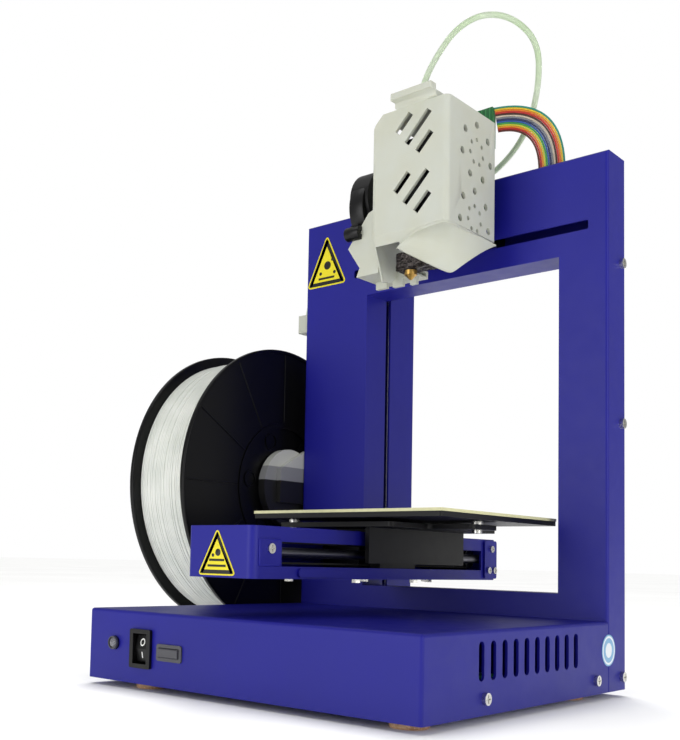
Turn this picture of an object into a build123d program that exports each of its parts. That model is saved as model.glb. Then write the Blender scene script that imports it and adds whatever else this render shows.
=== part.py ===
"""Desktop fused-filament printer: a steel base and portal, a head that slides along X in the top
beam, an arm that climbs a rear column in Z, and a heated bed that slides along Y on the arm.

Frame: +X right, +Y back, +Z up, millimetres. The origin is on the table, under the centre of the
base box.
"""
from build123d import *
import os
from math import pi, radians, tan

os.makedirs("parts", exist_ok=True)

# ---------------------------------------------------------------- driving sizes
SHEET = 1.5              # steel sheet of base, portal, column and arm
EDGE_R = 2.0             # folded outer edges
FIT = 0.05               # radial clearance of a running fit
GAP = 0.3                # clearance between parts that move past each other

BASE_W, BASE_D, BASE_H = 245.0, 206.5, 43.0
FOOT_H, FOOT_R = 4.0, 10.0
FOOT_LEFT_X, FOOT_RIGHT_X, FOOT_INSET_Y = -82.0, 104.0, 18.0

PORTAL_T, PORTAL_H = 25.4, 341.0
WINDOW_W, BEAM_H = 153.2, 63.8           # window width, and height of the beam above the window
WINDOW_CX, WINDOW_SILL = 13.3, 58.8      # centre line, and sill above the base's underside
WINDOW_H = PORTAL_H - WINDOW_SILL - BEAM_H
SLOT_H, SLOT_RISE = 6.0, 14.8            # X slot height, and its lower edge above the window

X_TRAVEL, Y_TRAVEL, Z_TRAVEL = 70.0, 70.0, 150.0   # X and Y each way from rest, Z upwards

ROD_R = 3.0              # X and Y guide rods
Z_ROD_R = 4.0
SCREW_R = 4.0            # leadscrew
PULLEY_R, BELT_T, BELT_W = 5.5, 1.2, 5.5

COLUMN_W, COLUMN_D, COLUMN_H = 54.7, 33.5, PORTAL_H - 49.0
COLUMN_SLIT = 6.1        # between the portal's rear and the column

ARM_W, ARM_L, ARM_H = 51.0, 267.0, 29.5
ARM_X, ARM_FRONT, ARM_RISE = -41.0, -98.0, 22.0    # left side, front end, height above the base top

BED_SIZE, BED_T, BOARD_T = 140.0, 3.0, 1.8
BED_TOP, BED_CY = 111.0, 45.0

HEAD_W, HEAD_D, HEAD_H = 59.0, 62.0, 94.0
HEAD_X, HEAD_FRONT, HEAD_TOP = -8.0, 29.75, FOOT_H + PORTAL_H + 32.0
HEAD_WALL = 2.0
NECK_W, NECK_T = 44.0, 4.0
NOZZLE_X, NOZZLE_Y, NOZZLE_Z = 13.3, 46.75, HEAD_TOP - 110.2
MOTOR_SIDE, MOTOR_L = 42.0, 30.0
GEAR_R = 5.6
FILAMENT_R = 0.875
BLOWER_R, BLOWER_T = 23.0, 15.0

SPOOL_R, SPOOL_W, SPOOL_RIM = 109.0, 58.0, 4.0
SPOOL_BORE_R, SPOOL_HUB_R, WOUND_R = 26.0, 32.0, 102.0
SPOOL_X, SPOOL_Y, SPOOL_Z = -BASE_W / 2 - 10.5, 92.75, 136.0   # right face, and the axis

TUBE_D = 4.0
RIBBON_W, RIBBON_T = 17.8, 1.2

# ---------------------------------------------------------------- worked-out places
BASE_X = BASE_W / 2
BASE_Y = BASE_D / 2
BASE_TOP = FOOT_H + BASE_H
PORTAL_BACK = BASE_Y + PORTAL_T
PORTAL_TOP = FOOT_H + PORTAL_H
WIN_X0, WIN_X1 = WINDOW_CX - WINDOW_W / 2, WINDOW_CX + WINDOW_W / 2
WIN_Z0 = FOOT_H + WINDOW_SILL
WIN_Z1 = WIN_Z0 + WINDOW_H
SLOT_Z0 = WIN_Z1 + SLOT_RISE
SLOT_Z1 = SLOT_Z0 + SLOT_H
NECK_X = HEAD_X + HEAD_W / 2 - 4.5
SLOT_W = NECK_W + 2 * X_TRAVEL + 2 * 0.6
ARM_Z = BASE_TOP + ARM_RISE
ARM_TOP = ARM_Z + ARM_H
ARM_X1 = ARM_X + ARM_W
ARM_BACK = ARM_FRONT + ARM_L
COL_X0 = WIN_X0 - COLUMN_W
COL_Y0 = PORTAL_BACK + COLUMN_SLIT
COL_Y1 = COL_Y0 + COLUMN_D
COL_CX = WIN_X0 - COLUMN_W / 2
COL_CY = COL_Y0 + COLUMN_D / 2


def save(part, name):
    """Label a finished piece and write its STEP file."""
    part.part.label = name
    export_step(part.part, f"parts/{name}.step")


def box(x0, x1, y0, y1, z0, z1, mode=Mode.ADD):
    """A block between two corners, in the builder that is open."""
    with Locations(((x0 + x1) / 2, (y0 + y1) / 2, (z0 + z1) / 2)):
        Box(x1 - x0, y1 - y0, z1 - z0, mode=mode)


def rod_x(y, z, x0, x1, r, mode=Mode.ADD):
    """A cylinder along X, in the builder that is open."""
    with Locations(((x0 + x1) / 2, y, z)):
        Cylinder(r, x1 - x0, rotation=(0, 90, 0), mode=mode)


def rod_y(x, z, y0, y1, r, mode=Mode.ADD):
    """A cylinder along Y, in the builder that is open."""
    with Locations((x, (y0 + y1) / 2, z)):
        Cylinder(r, y1 - y0, rotation=(90, 0, 0), mode=mode)


def rod_z(x, y, z0, z1, r, mode=Mode.ADD):
    """A cylinder along Z, in the builder that is open."""
    with Locations((x, y, (z0 + z1) / 2)):
        Cylinder(r, z1 - z0, mode=mode)


def pan_head_x(x, y, z, side, r=3.2, h=2.2, shank=6.0):
    """A pan-head screw seated on a face at x, its head on the given side (+1 or -1)."""
    rod_x(y, z, min(x, x + side * h), max(x, x + side * h), r)
    if shank > 0:
        rod_x(y, z, min(x, x - side * shank), max(x, x - side * shank), r * 0.45)
    with Locations((x + side * h, y, z)):
        Box(1.4, 0.9, r * 1.3, mode=Mode.SUBTRACT)
        Box(1.4, r * 1.3, 0.9, mode=Mode.SUBTRACT)


# ---------------------------------------------------------------- base
VENT_N, VENT_PITCH, VENT_W, VENT_H = 10, 11.95, 5.5, 20.1
VENT_Y0, VENT_Z = -BASE_Y + 51.5, FOOT_H + 27.3        # first slot's near edge, centre height
LED_X, LED_Z, LED_R = -BASE_X + 24.8, FOOT_H + 22.9, 4.0
SWITCH_X, SWITCH_Z, SWITCH_W, SWITCH_H = -BASE_X + 49.5, FOOT_H + 21.0, 18.0, 23.0
BUTTON_X, BUTTON_Z, BUTTON_W, BUTTON_H = -BASE_X + 73.8, FOOT_H + 20.1, 20.9, 9.8
BASE_SCREW_Z = FOOT_H + 8.4
BASE_SCREW_Y = (-BASE_Y + 57.6, -BASE_Y + 189.0)
INLET_X, USB_X, SOCKET_Z = 60.0, 90.0, FOOT_H + 24.0

with BuildPart() as base_cover:
    box(-BASE_X, BASE_X, -BASE_Y, BASE_Y, FOOT_H, BASE_TOP)
    outer = base_cover.edges().filter_by(Axis.Z).group_by(Axis.Y)[0]
    top_edges = base_cover.faces().sort_by(Axis.Z)[-1].edges().filter_by(
        lambda e: e.center().Y < BASE_Y - 1)
    fillet(list(outer) + list(top_edges), EDGE_R)
    box(-BASE_X + SHEET, BASE_X - SHEET, -BASE_Y + SHEET, BASE_Y - SHEET,
        FOOT_H, BASE_TOP - SHEET, Mode.SUBTRACT)
    for side in (-1, 1):
        with BuildSketch(Plane.YZ.offset(side * (BASE_X - SHEET / 2))):
            for i in range(VENT_N):
                with Locations((VENT_Y0 + VENT_W / 2 + i * VENT_PITCH, VENT_Z)):
                    SlotOverall(VENT_H, VENT_W, rotation=90)
        extrude(amount=SHEET, both=True, mode=Mode.SUBTRACT)
        for y in BASE_SCREW_Y:
            rod_x(y, BASE_SCREW_Z, side * BASE_X - 4, side * BASE_X + 4, 1.7, Mode.SUBTRACT)
    rod_y(LED_X, LED_Z, -BASE_Y - 1, -BASE_Y + 3, LED_R + 0.2, Mode.SUBTRACT)
    box(SWITCH_X - SWITCH_W / 2 + 1.2, SWITCH_X + SWITCH_W / 2 - 1.2, -BASE_Y - 1, -BASE_Y + 3,
        SWITCH_Z - SWITCH_H / 2 + 1.2, SWITCH_Z + SWITCH_H / 2 - 1.2, Mode.SUBTRACT)
    box(BUTTON_X - BUTTON_W / 2 + 1, BUTTON_X + BUTTON_W / 2 - 1, -BASE_Y - 1, -BASE_Y + 3,
        BUTTON_Z - BUTTON_H / 2 + 1, BUTTON_Z + BUTTON_H / 2 - 1, Mode.SUBTRACT)
save(base_cover, "base_cover")

with BuildPart() as base_bottom_plate:
    box(-BASE_X + SHEET, BASE_X - SHEET, -BASE_Y + SHEET, BASE_Y - SHEET, FOOT_H, FOOT_H + SHEET)
    for side in (-1, 1):
        x0, x1 = sorted((side * (BASE_X - SHEET), side * (BASE_X - 2 * SHEET)))
        box(x0, x1, -BASE_Y + 20, BASE_Y - 5, FOOT_H, FOOT_H + 12)
        for y in BASE_SCREW_Y:
            rod_x(y, BASE_SCREW_Z, side * BASE_X - 7, side * BASE_X + 7, 1.7, Mode.SUBTRACT)
save(base_bottom_plate, "base_bottom_plate")

with BuildPart() as feet:
    for x in (FOOT_LEFT_X, FOOT_RIGHT_X):
        for y in (-BASE_Y + FOOT_INSET_Y, BASE_Y - FOOT_INSET_Y):
            rod_z(x, y, 0, FOOT_H, FOOT_R)
    chamfer(feet.edges().group_by(Axis.Z)[0], 0.8)
save(feet, "feet")

BOARD_Z = FOOT_H + SHEET + 6.0
with BuildPart() as mainboard:
    box(-60, 70, -40, 60, BOARD_Z, BOARD_Z + 1.6)
    with Locations(*[(x, y, BOARD_Z - 3) for x in (-55, 65) for y in (-35, 55)]):
        Cylinder(3, 6)
    for x in (-40, -15, 10, 35):
        box(x, x + 9, 20, 29, BOARD_Z + 1.6, BOARD_Z + 9)          # driver chips with their fins
        for k in range(3):
            box(x + 1.5 + 2.5 * k, x + 2.7 + 2.5 * k, 20, 29, BOARD_Z + 5, BOARD_Z + 9, Mode.SUBTRACT)
    box(-10, 4, -15, -1, BOARD_Z + 1.6, BOARD_Z + 3.2)             # processor
    for x in (30, 44, 58):
        rod_z(x, -20, BOARD_Z + 1.6, BOARD_Z + 14, 5)              # capacitors
    for x in (-50, -38, -26):
        box(x, x + 10, -36, -30, BOARD_Z + 1.6, BOARD_Z + 8)       # plug headers
save(mainboard, "mainboard")

with BuildPart() as status_led:
    rod_y(LED_X, LED_Z, -BASE_Y, -BASE_Y + 6, LED_R - 0.2)
    with Locations((LED_X, -BASE_Y, LED_Z)):
        Sphere(LED_R - 0.2)
    rod_y(LED_X, LED_Z, -BASE_Y - 0.9, -BASE_Y, LED_R + 1.0)
    box(LED_X - 8, LED_X + 8, -BASE_Y - 8, -BASE_Y - 3, LED_Z - 8, LED_Z + 8, Mode.SUBTRACT)
save(status_led, "status_led")

# The rocker turns on a pin along X; its housing is a frame with a deep box behind the panel.
ROCKER_Y, ROCKER_R, ROCKER_TILT = -BASE_Y + 4.0, 8.2, 12.0
with BuildPart() as switch_housing:
    box(SWITCH_X - SWITCH_W / 2, SWITCH_X + SWITCH_W / 2, -BASE_Y - 2, -BASE_Y,
        SWITCH_Z - SWITCH_H / 2, SWITCH_Z + SWITCH_H / 2)
    fillet(switch_housing.edges().filter_by(Axis.Y), 1.2)
    box(SWITCH_X - SWITCH_W / 2 + 1.4, SWITCH_X + SWITCH_W / 2 - 1.4, -BASE_Y, -BASE_Y + 18,
        SWITCH_Z - SWITCH_H / 2 + 1.4, SWITCH_Z + SWITCH_H / 2 - 1.4)
    box(SWITCH_X - SWITCH_W / 2 + 3, SWITCH_X + SWITCH_W / 2 - 3, -BASE_Y - 3, -BASE_Y + 14,
        SWITCH_Z - SWITCH_H / 2 + 2.6, SWITCH_Z + SWITCH_H / 2 - 2.6, Mode.SUBTRACT)
    for x in (SWITCH_X - SWITCH_W / 2 + 3, SWITCH_X + SWITCH_W / 2 - 3):
        rod_x(ROCKER_Y, SWITCH_Z, x - 0.8, x + 0.8, 1.6)           # pivot stubs
    for z in (-5, 0, 5):
        box(SWITCH_X - 3, SWITCH_X + 3, -BASE_Y + 18, -BASE_Y + 25, SWITCH_Z + z - 0.4, SWITCH_Z + z + 0.4)
save(switch_housing, "switch_housing")

with BuildPart() as switch_rocker:
    with BuildSketch(Plane.YZ.offset(SWITCH_X - SWITCH_W / 2 + 3 + GAP)) as rocker_profile:
        with Locations((ROCKER_Y, SWITCH_Z)):
            Circle(ROCKER_R)
            with Locations((-ROCKER_R * 0.95, ROCKER_R * 0.5)):
                Rectangle(ROCKER_R * 1.1, ROCKER_R * 2.6, rotation=-ROCKER_TILT, mode=Mode.SUBTRACT)
            with Locations((-ROCKER_R * 0.95, -ROCKER_R * 0.55)):
                Rectangle(ROCKER_R * 1.1, ROCKER_R * 2.6, rotation=ROCKER_TILT, mode=Mode.SUBTRACT)
    extrude(amount=SWITCH_W - 6 - 2 * GAP)
    rod_x(ROCKER_Y, SWITCH_Z, SWITCH_X - SWITCH_W / 2, SWITCH_X + SWITCH_W / 2, 1.6 + FIT, Mode.SUBTRACT)
save(switch_rocker, "switch_rocker")

with BuildPart() as button_bezel:
    box(BUTTON_X - BUTTON_W / 2, BUTTON_X + BUTTON_W / 2, -BASE_Y - 1, -BASE_Y,
        BUTTON_Z - BUTTON_H / 2, BUTTON_Z + BUTTON_H / 2)
    fillet(button_bezel.edges().filter_by(Axis.Y), 1.5)
    box(BUTTON_X - BUTTON_W / 2 + 1.2, BUTTON_X + BUTTON_W / 2 - 1.2, -BASE_Y, -BASE_Y + 8,
        BUTTON_Z - BUTTON_H / 2 + 1.2, BUTTON_Z + BUTTON_H / 2 - 1.2)
    box(BUTTON_X - BUTTON_W / 2 + 2, BUTTON_X + BUTTON_W / 2 - 2, -BASE_Y - 2, -BASE_Y + 6,
        BUTTON_Z - BUTTON_H / 2 + 2, BUTTON_Z + BUTTON_H / 2 - 2, Mode.SUBTRACT)
save(button_bezel, "button_bezel")

with BuildPart() as start_button:
    box(BUTTON_X - BUTTON_W / 2 + 2 + GAP, BUTTON_X + BUTTON_W / 2 - 2 - GAP, -BASE_Y - 2.2, -BASE_Y + 4.2,
        BUTTON_Z - BUTTON_H / 2 + 2 + GAP, BUTTON_Z + BUTTON_H / 2 - 2 - GAP)
    fillet(start_button.faces().sort_by(Axis.Y)[0].edges(), 0.6)
save(start_button, "start_button")

with BuildPart() as power_inlet:
    rod_y(INLET_X, SOCKET_Z, PORTAL_BACK, PORTAL_BACK + 2.5, 7)
    rod_y(INLET_X, SOCKET_Z, PORTAL_BACK - 14, PORTAL_BACK, 5.5)
    rod_y(INLET_X, SOCKET_Z, PORTAL_BACK - 10, PORTAL_BACK + 3, 3.2, Mode.SUBTRACT)
    rod_y(INLET_X, SOCKET_Z, PORTAL_BACK - 10, PORTAL_BACK + 1, 1.0)
save(power_inlet, "power_inlet")

with BuildPart() as usb_socket:
    box(USB_X - 6, USB_X + 6, PORTAL_BACK - 14, PORTAL_BACK + 0.8, SOCKET_Z - 5.4, SOCKET_Z + 5.4)
    box(USB_X - 4.4, USB_X + 4.4, PORTAL_BACK - 9, PORTAL_BACK + 2,
        SOCKET_Z - 4, SOCKET_Z + 4, Mode.SUBTRACT)
    box(USB_X - 2.8, USB_X + 2.8, PORTAL_BACK - 9, PORTAL_BACK - 1, SOCKET_Z - 1.6, SOCKET_Z + 1.6)
save(usb_socket, "usb_socket")

# ---------------------------------------------------------------- portal
PORTAL_SCREW_Z = (FOOT_H + 8.1, FOOT_H + 167.7, FOOT_H + 271.5)
PORTAL_SCREW_Y = BASE_Y + 20.5
RIBBON_REACH = 31.0
RIBBON_START = Vector(HEAD_X + HEAD_W - 2, HEAD_FRONT + HEAD_D + 3, HEAD_TOP + 4)
RIBBON_END = Vector(RIBBON_START.X + RIBBON_REACH, BASE_Y + 12.7, PORTAL_TOP + 0.5)
RIBBON_FLAT = Vector(RIBBON_END.X - RIBBON_START.X, RIBBON_END.Y - RIBBON_START.Y, 0)
RIBBON_TURN = Vector(1, 0, 0).get_signed_angle(RIBBON_FLAT)

with BuildPart() as portal_frame:
    box(-BASE_X, BASE_X, BASE_Y, PORTAL_BACK, FOOT_H, PORTAL_TOP)
    fillet(portal_frame.edges().filter_by(Axis.Z).group_by(Axis.Y)[0]
           + portal_frame.faces().sort_by(Axis.Z)[-1].edges().group_by(Axis.Y)[0], EDGE_R)
    box(-BASE_X + SHEET, BASE_X - SHEET, BASE_Y + SHEET, PORTAL_BACK + 1,
        FOOT_H + SHEET, PORTAL_TOP - SHEET, Mode.SUBTRACT)
    box(WIN_X0 - SHEET, WIN_X1 + SHEET, BASE_Y, PORTAL_BACK - SHEET, WIN_Z0 - SHEET, WIN_Z1 + SHEET)
    box(WIN_X0, WIN_X1, BASE_Y - 1, PORTAL_BACK + 1, WIN_Z0, WIN_Z1, Mode.SUBTRACT)
    with BuildSketch(Plane.XZ.offset(-BASE_Y - SHEET / 2)):
        with Locations((NECK_X, (SLOT_Z0 + SLOT_Z1) / 2)):
            RectangleRounded(SLOT_W, SLOT_H, 1.0)
    extrude(amount=SHEET, both=True, mode=Mode.SUBTRACT)
    with BuildSketch(Plane.XY.offset(PORTAL_TOP - SHEET / 2)):
        with Locations((RIBBON_END.X, RIBBON_END.Y)):
            SlotOverall(RIBBON_W + 4, RIBBON_T + 2.8, rotation=RIBBON_TURN)
    extrude(amount=SHEET, both=True, mode=Mode.SUBTRACT)
    for side in (-1, 1):
        for z in PORTAL_SCREW_Z:
            rod_x(PORTAL_SCREW_Y, z, side * BASE_X - 4, side * BASE_X + 4, 1.7, Mode.SUBTRACT)
save(portal_frame, "portal_frame")

with BuildPart() as portal_rear_cover:
    box(-BASE_X + SHEET, BASE_X - SHEET, PORTAL_BACK - SHEET, PORTAL_BACK,
        FOOT_H + SHEET, PORTAL_TOP - SHEET)
    box(WIN_X0, WIN_X1, PORTAL_BACK - 3, PORTAL_BACK + 1, WIN_Z0, WIN_Z1, Mode.SUBTRACT)
    for side in (-1, 1):
        x0, x1 = sorted((side * (BASE_X - SHEET), side * (BASE_X - 2 * SHEET)))
        box(x0, x1, PORTAL_BACK - 11, PORTAL_BACK, FOOT_H + SHEET, WIN_Z1)
        for z in PORTAL_SCREW_Z:
            rod_x(PORTAL_SCREW_Y, z, side * BASE_X - 8, side * BASE_X + 8, 1.7, Mode.SUBTRACT)
    rod_y(INLET_X, SOCKET_Z, PORTAL_BACK - 3, PORTAL_BACK + 1, 5.6, Mode.SUBTRACT)
    box(USB_X - 6.1, USB_X + 6.1, PORTAL_BACK - 3, PORTAL_BACK + 1, SOCKET_Z - 5.5, SOCKET_Z + 5.5,
        Mode.SUBTRACT)
save(portal_rear_cover, "portal_rear_cover")

with BuildPart() as case_screws:
    for side in (-1, 1):
        for y in BASE_SCREW_Y:
            pan_head_x(side * BASE_X, y, BASE_SCREW_Z, side)
        for z in PORTAL_SCREW_Z:
            pan_head_x(side * BASE_X, PORTAL_SCREW_Y, z, side)
save(case_screws, "case_screws")

# ---------------------------------------------------------------- X axis, inside the top beam
X_ROD_Y = PORTAL_BACK - 9.0
X_ROD_Z = (WIN_Z1 + 9.8, WIN_Z1 + 49.8)
X_BELT_Y0 = BASE_Y + SHEET + 2.5
X_BELT_Z = WIN_Z1 + 32.8
X_MOTOR_X, X_IDLER_X = -BASE_X + 18.5, BASE_X - 8.8
X_MOTOR_SIDE = 25.4
PULLEY_L, FLANGE = BELT_W + 1.2, 0.5
X_CARR_Y0, X_CARR_Y1 = BASE_Y + 10.75, PORTAL_BACK - 3.5
NECK_X0, NECK_X1 = NECK_X - NECK_W / 2, NECK_X + NECK_W / 2
NECK_Z0 = (SLOT_Z0 + SLOT_Z1 - NECK_T) / 2

with BuildPart() as x_rods:
    for z in X_ROD_Z:
        rod_x(X_ROD_Y, z, -BASE_X + SHEET, BASE_X - SHEET, ROD_R)
save(x_rods, "x_rods")

with BuildPart() as x_end_blocks:
    for side in (-1, 1):
        x0, x1 = sorted((side * (BASE_X - SHEET), side * (BASE_X - SHEET - 8)))
        for z in X_ROD_Z:
            box(x0, x1, X_ROD_Y - 5, PORTAL_BACK - SHEET, z - 4, z + 4)
            rod_x(X_ROD_Y, z, x0 - 1, x1 + 1, ROD_R, Mode.SUBTRACT)
    rod_y(X_IDLER_X, X_BELT_Z, X_BELT_Y0 - 0.6, PORTAL_BACK - SHEET, 2)
    rod_y(X_IDLER_X, X_BELT_Z, X_BELT_Y0 + PULLEY_L + GAP, PORTAL_BACK - SHEET, 3.2)
    rod_y(X_IDLER_X, X_BELT_Z, X_BELT_Y0 - 1.4, X_BELT_Y0 - GAP, 3.2)
save(x_end_blocks, "x_end_blocks")


def flat_motor_y(x, z, side, y0, y1):
    """A square stepper motor whose shaft is along Y, between y0 and y1."""
    box(x - side / 2, x + side / 2, y0, y1, z - side / 2, z + side / 2)
    rod_y(x, z, y0 - 1.0, y0, side * 0.3)


def pulley_ring():
    """A pulley along the local Z from zero: a drum between two thin flanges."""
    Cylinder(PULLEY_R - 0.05, PULLEY_L, align=(Align.CENTER, Align.CENTER, Align.MIN))
    for z in (0, PULLEY_L - FLANGE):
        with Locations((0, 0, z)):
            Cylinder(PULLEY_R + BELT_T, FLANGE, align=(Align.CENTER, Align.CENTER, Align.MIN))


with BuildPart() as x_motor:
    flat_motor_y(X_MOTOR_X, X_BELT_Z, X_MOTOR_SIDE, X_CARR_Y0 + 2, PORTAL_BACK - SHEET)
save(x_motor, "x_motor")

with BuildPart() as x_pulley:
    with Locations(Plane((X_MOTOR_X, X_BELT_Y0 + PULLEY_L, X_BELT_Z), z_dir=(0, -1, 0))):
        pulley_ring()
    rod_y(X_MOTOR_X, X_BELT_Z, X_BELT_Y0 + PULLEY_L, X_CARR_Y0 + 1 - GAP, 2.5)
save(x_pulley, "x_pulley")

with BuildPart() as x_idler:
    with Locations(Plane((X_IDLER_X, X_BELT_Y0 + PULLEY_L, X_BELT_Z), z_dir=(0, -1, 0))):
        pulley_ring()
    rod_y(X_IDLER_X, X_BELT_Z, X_BELT_Y0 - 1, X_BELT_Y0 + PULLEY_L + 1, 2 + FIT, Mode.SUBTRACT)
save(x_idler, "x_idler")


def belt_sketch(half_span):
    """The outline of a closed belt round two equal pulleys, centred on the open sketch's origin."""
    SlotCenterToCenter(2 * half_span, 2 * (PULLEY_R + BELT_T - 0.05))
    SlotCenterToCenter(2 * half_span, 2 * PULLEY_R, mode=Mode.SUBTRACT)


with BuildPart() as x_belt:
    belt_y = X_BELT_Y0 + (PULLEY_L - BELT_W) / 2
    mid = (X_MOTOR_X + X_IDLER_X) / 2
    with BuildSketch(Plane((mid, belt_y, X_BELT_Z), x_dir=(1, 0, 0), z_dir=(0, -1, 0))):
        belt_sketch((X_IDLER_X - X_MOTOR_X) / 2)
    extrude(amount=-BELT_W)
save(x_belt, "x_belt")

BELT_LOW = X_BELT_Z - PULLEY_R - BELT_T
with BuildPart() as x_carriage:
    box(NECK_X0, NECK_X1, X_CARR_Y0, X_CARR_Y1, X_ROD_Z[0] - 5, X_ROD_Z[1] + 5)
    fillet(x_carriage.edges().filter_by(Axis.X), 1.5)
    for z in X_ROD_Z:
        rod_x(X_ROD_Y, z, NECK_X0 - 1, NECK_X1 + 1, ROD_R + FIT, Mode.SUBTRACT)
    box(NECK_X - 10, NECK_X + 10, X_BELT_Y0 - 0.5, X_CARR_Y0, BELT_LOW - 4, BELT_LOW + 5)
    box(NECK_X - 11, NECK_X + 11, X_BELT_Y0 + GAP, X_BELT_Y0 + PULLEY_L - GAP,
        BELT_LOW - GAP, BELT_LOW + BELT_T + GAP, Mode.SUBTRACT)
save(x_carriage, "x_carriage")

# ---------------------------------------------------------------- Z column
Z_ROD_DX = 14.0
Z_BRACKET_T = 4.0
Z_BASE = FOOT_H + 6.0
COLUMN_TOP = FOOT_H + COLUMN_H
Z_MOTOR_SIDE, Z_MOTOR_H = 18.0, 34.0
Z_MOTOR_TOP = Z_BASE + Z_BRACKET_T + Z_MOTOR_H

with BuildPart() as column_cover:
    box(COL_X0, WIN_X0, COL_Y0, COL_Y1, Z_BASE, COLUMN_TOP)
    fillet(column_cover.edges().filter_by(Axis.Z).group_by(Axis.Y)[-1], EDGE_R)
    box(COL_X0 + SHEET, WIN_X0 - SHEET, COL_Y0 - 1, COL_Y1 - SHEET, Z_BASE - 1, COLUMN_TOP - SHEET,
        Mode.SUBTRACT)
save(column_cover, "column_cover")

with BuildPart() as column_brackets:
    for z in (Z_BASE, COLUMN_TOP - SHEET - Z_BRACKET_T):
        box(COL_X0 + SHEET, WIN_X0 - SHEET, PORTAL_BACK, COL_Y1 - SHEET, z, z + Z_BRACKET_T)
    for dx in (-Z_ROD_DX, Z_ROD_DX):
        rod_z(COL_CX + dx, COL_CY, Z_BASE - 1, COLUMN_TOP, Z_ROD_R, Mode.SUBTRACT)
    rod_z(COL_CX, COL_CY, COLUMN_TOP - 12, COLUMN_TOP, SCREW_R + FIT, Mode.SUBTRACT)
save(column_brackets, "column_brackets")

with BuildPart() as z_rods:
    for dx in (-Z_ROD_DX, Z_ROD_DX):
        rod_z(COL_CX + dx, COL_CY, Z_BASE, COLUMN_TOP - SHEET, Z_ROD_R)
save(z_rods, "z_rods")

with BuildPart() as z_motor:
    box(COL_CX - Z_MOTOR_SIDE / 2, COL_CX + Z_MOTOR_SIDE / 2, COL_CY - 14, COL_CY + 14,
        Z_BASE + Z_BRACKET_T, Z_MOTOR_TOP)
    rod_z(COL_CX, COL_CY, Z_MOTOR_TOP, Z_MOTOR_TOP + 1.5, 7)
save(z_motor, "z_motor")

with BuildPart() as leadscrew:
    rod_z(COL_CX, COL_CY, Z_MOTOR_TOP + 1.5 + GAP, COLUMN_TOP - SHEET - GAP, SCREW_R)
    rod_z(COL_CX, COL_CY, Z_MOTOR_TOP + 2.5, Z_MOTOR_TOP + 18, 7)
    chamfer(leadscrew.edges().group_by(Axis.Z)[-1], 0.6)
save(leadscrew, "leadscrew")

# ---------------------------------------------------------------- Z carriage and arm
CARR_Z0, CARR_Z1 = ARM_Z + 1.5, ARM_TOP - 1.5
WEB_Y0, WEB_Y1 = PORTAL_BACK + 1.4, COL_Y0 - 1.4
NUT_LOW = Z_MOTOR_TOP + 18 + 1

with BuildPart() as z_carriage:
    box(COL_X0 + 3.5, WIN_X0 - 3.5, WEB_Y0, COL_Y1 - SHEET - 2, max(CARR_Z0, NUT_LOW), CARR_Z1)
    box(WIN_X0 - 10, ARM_X - 2, WEB_Y0, WEB_Y1, CARR_Z0, CARR_Z1)
    box(ARM_X - 3, ARM_X, BASE_Y + 8, COL_Y1 - 4, CARR_Z0, CARR_Z1)
    for dx in (-Z_ROD_DX, Z_ROD_DX):
        rod_z(COL_CX + dx, COL_CY, ARM_Z - 20, ARM_TOP + 20, Z_ROD_R + FIT, Mode.SUBTRACT)
    rod_z(COL_CX, COL_CY, ARM_Z - 20, ARM_TOP + 20, SCREW_R + FIT, Mode.SUBTRACT)
save(z_carriage, "z_carriage")

ARM_LIP = 8.0
SIDE_SLOT_Y0, SIDE_SLOT_Y1 = ARM_FRONT + 24.0, ARM_BACK - 22.0
SIDE_SLOT_Z0, SIDE_SLOT_Z1 = ARM_Z + 7.0, ARM_Z + 21.0
Y_ROD_X = (ARM_X + 7.0, ARM_X1 - 6.0)
Y_AXIS_Z = ARM_Z + 15.0
Y_BELT_X0 = ARM_X1 - 18.0
Y_MOTOR_Y, Y_IDLER_Y = ARM_BACK - 19.0, ARM_FRONT + 15.0
Y_MOTOR_SIDE = 25.0
ARM_SCREW_R = 2.4

with BuildPart() as arm_channel:
    box(ARM_X, ARM_X1, ARM_FRONT, ARM_BACK, ARM_Z, ARM_TOP)
    fillet(arm_channel.faces().sort_by(Axis.X)[-1].edges().filter_by(Axis.Z), 5.0)
    fillet(arm_channel.faces().sort_by(Axis.X)[0].edges().filter_by(Axis.Z), 3.0)
    box(ARM_X + SHEET, ARM_X1 - SHEET, ARM_FRONT + SHEET, ARM_BACK - SHEET,
        ARM_Z + SHEET, ARM_TOP - SHEET, Mode.SUBTRACT)
    box(ARM_X + SHEET + ARM_LIP, ARM_X1 - SHEET - ARM_LIP, ARM_FRONT + 34, ARM_BACK - 12,
        ARM_TOP - 3, ARM_TOP + 1, Mode.SUBTRACT)
    box(ARM_X1 - 3, ARM_X1 + 1, SIDE_SLOT_Y0, SIDE_SLOT_Y1, SIDE_SLOT_Z0, SIDE_SLOT_Z1, Mode.SUBTRACT)
save(arm_channel, "arm_channel")

with BuildPart() as arm_brackets:
    box(ARM_X1, ARM_X1 + SHEET, ARM_FRONT + 38, ARM_FRONT + 82, ARM_Z + 1, ARM_Z + 6)
    box(ARM_X1, ARM_X1 + SHEET, ARM_BACK - 19, ARM_BACK - 2, ARM_Z + 1, ARM_TOP - 1)
    fillet(arm_brackets.edges().filter_by(Axis.X), 2.0)
    rod_x(Y_IDLER_Y, Y_AXIS_Z, Y_BELT_X0 - 4, Y_BELT_X0 + PULLEY_L + 1.5, 2)
    box(Y_BELT_X0 - 6, Y_BELT_X0 - GAP, Y_IDLER_Y - 5, Y_IDLER_Y + 5, ARM_Z + SHEET, Y_AXIS_Z + 4)
save(arm_brackets, "arm_brackets")

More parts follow.
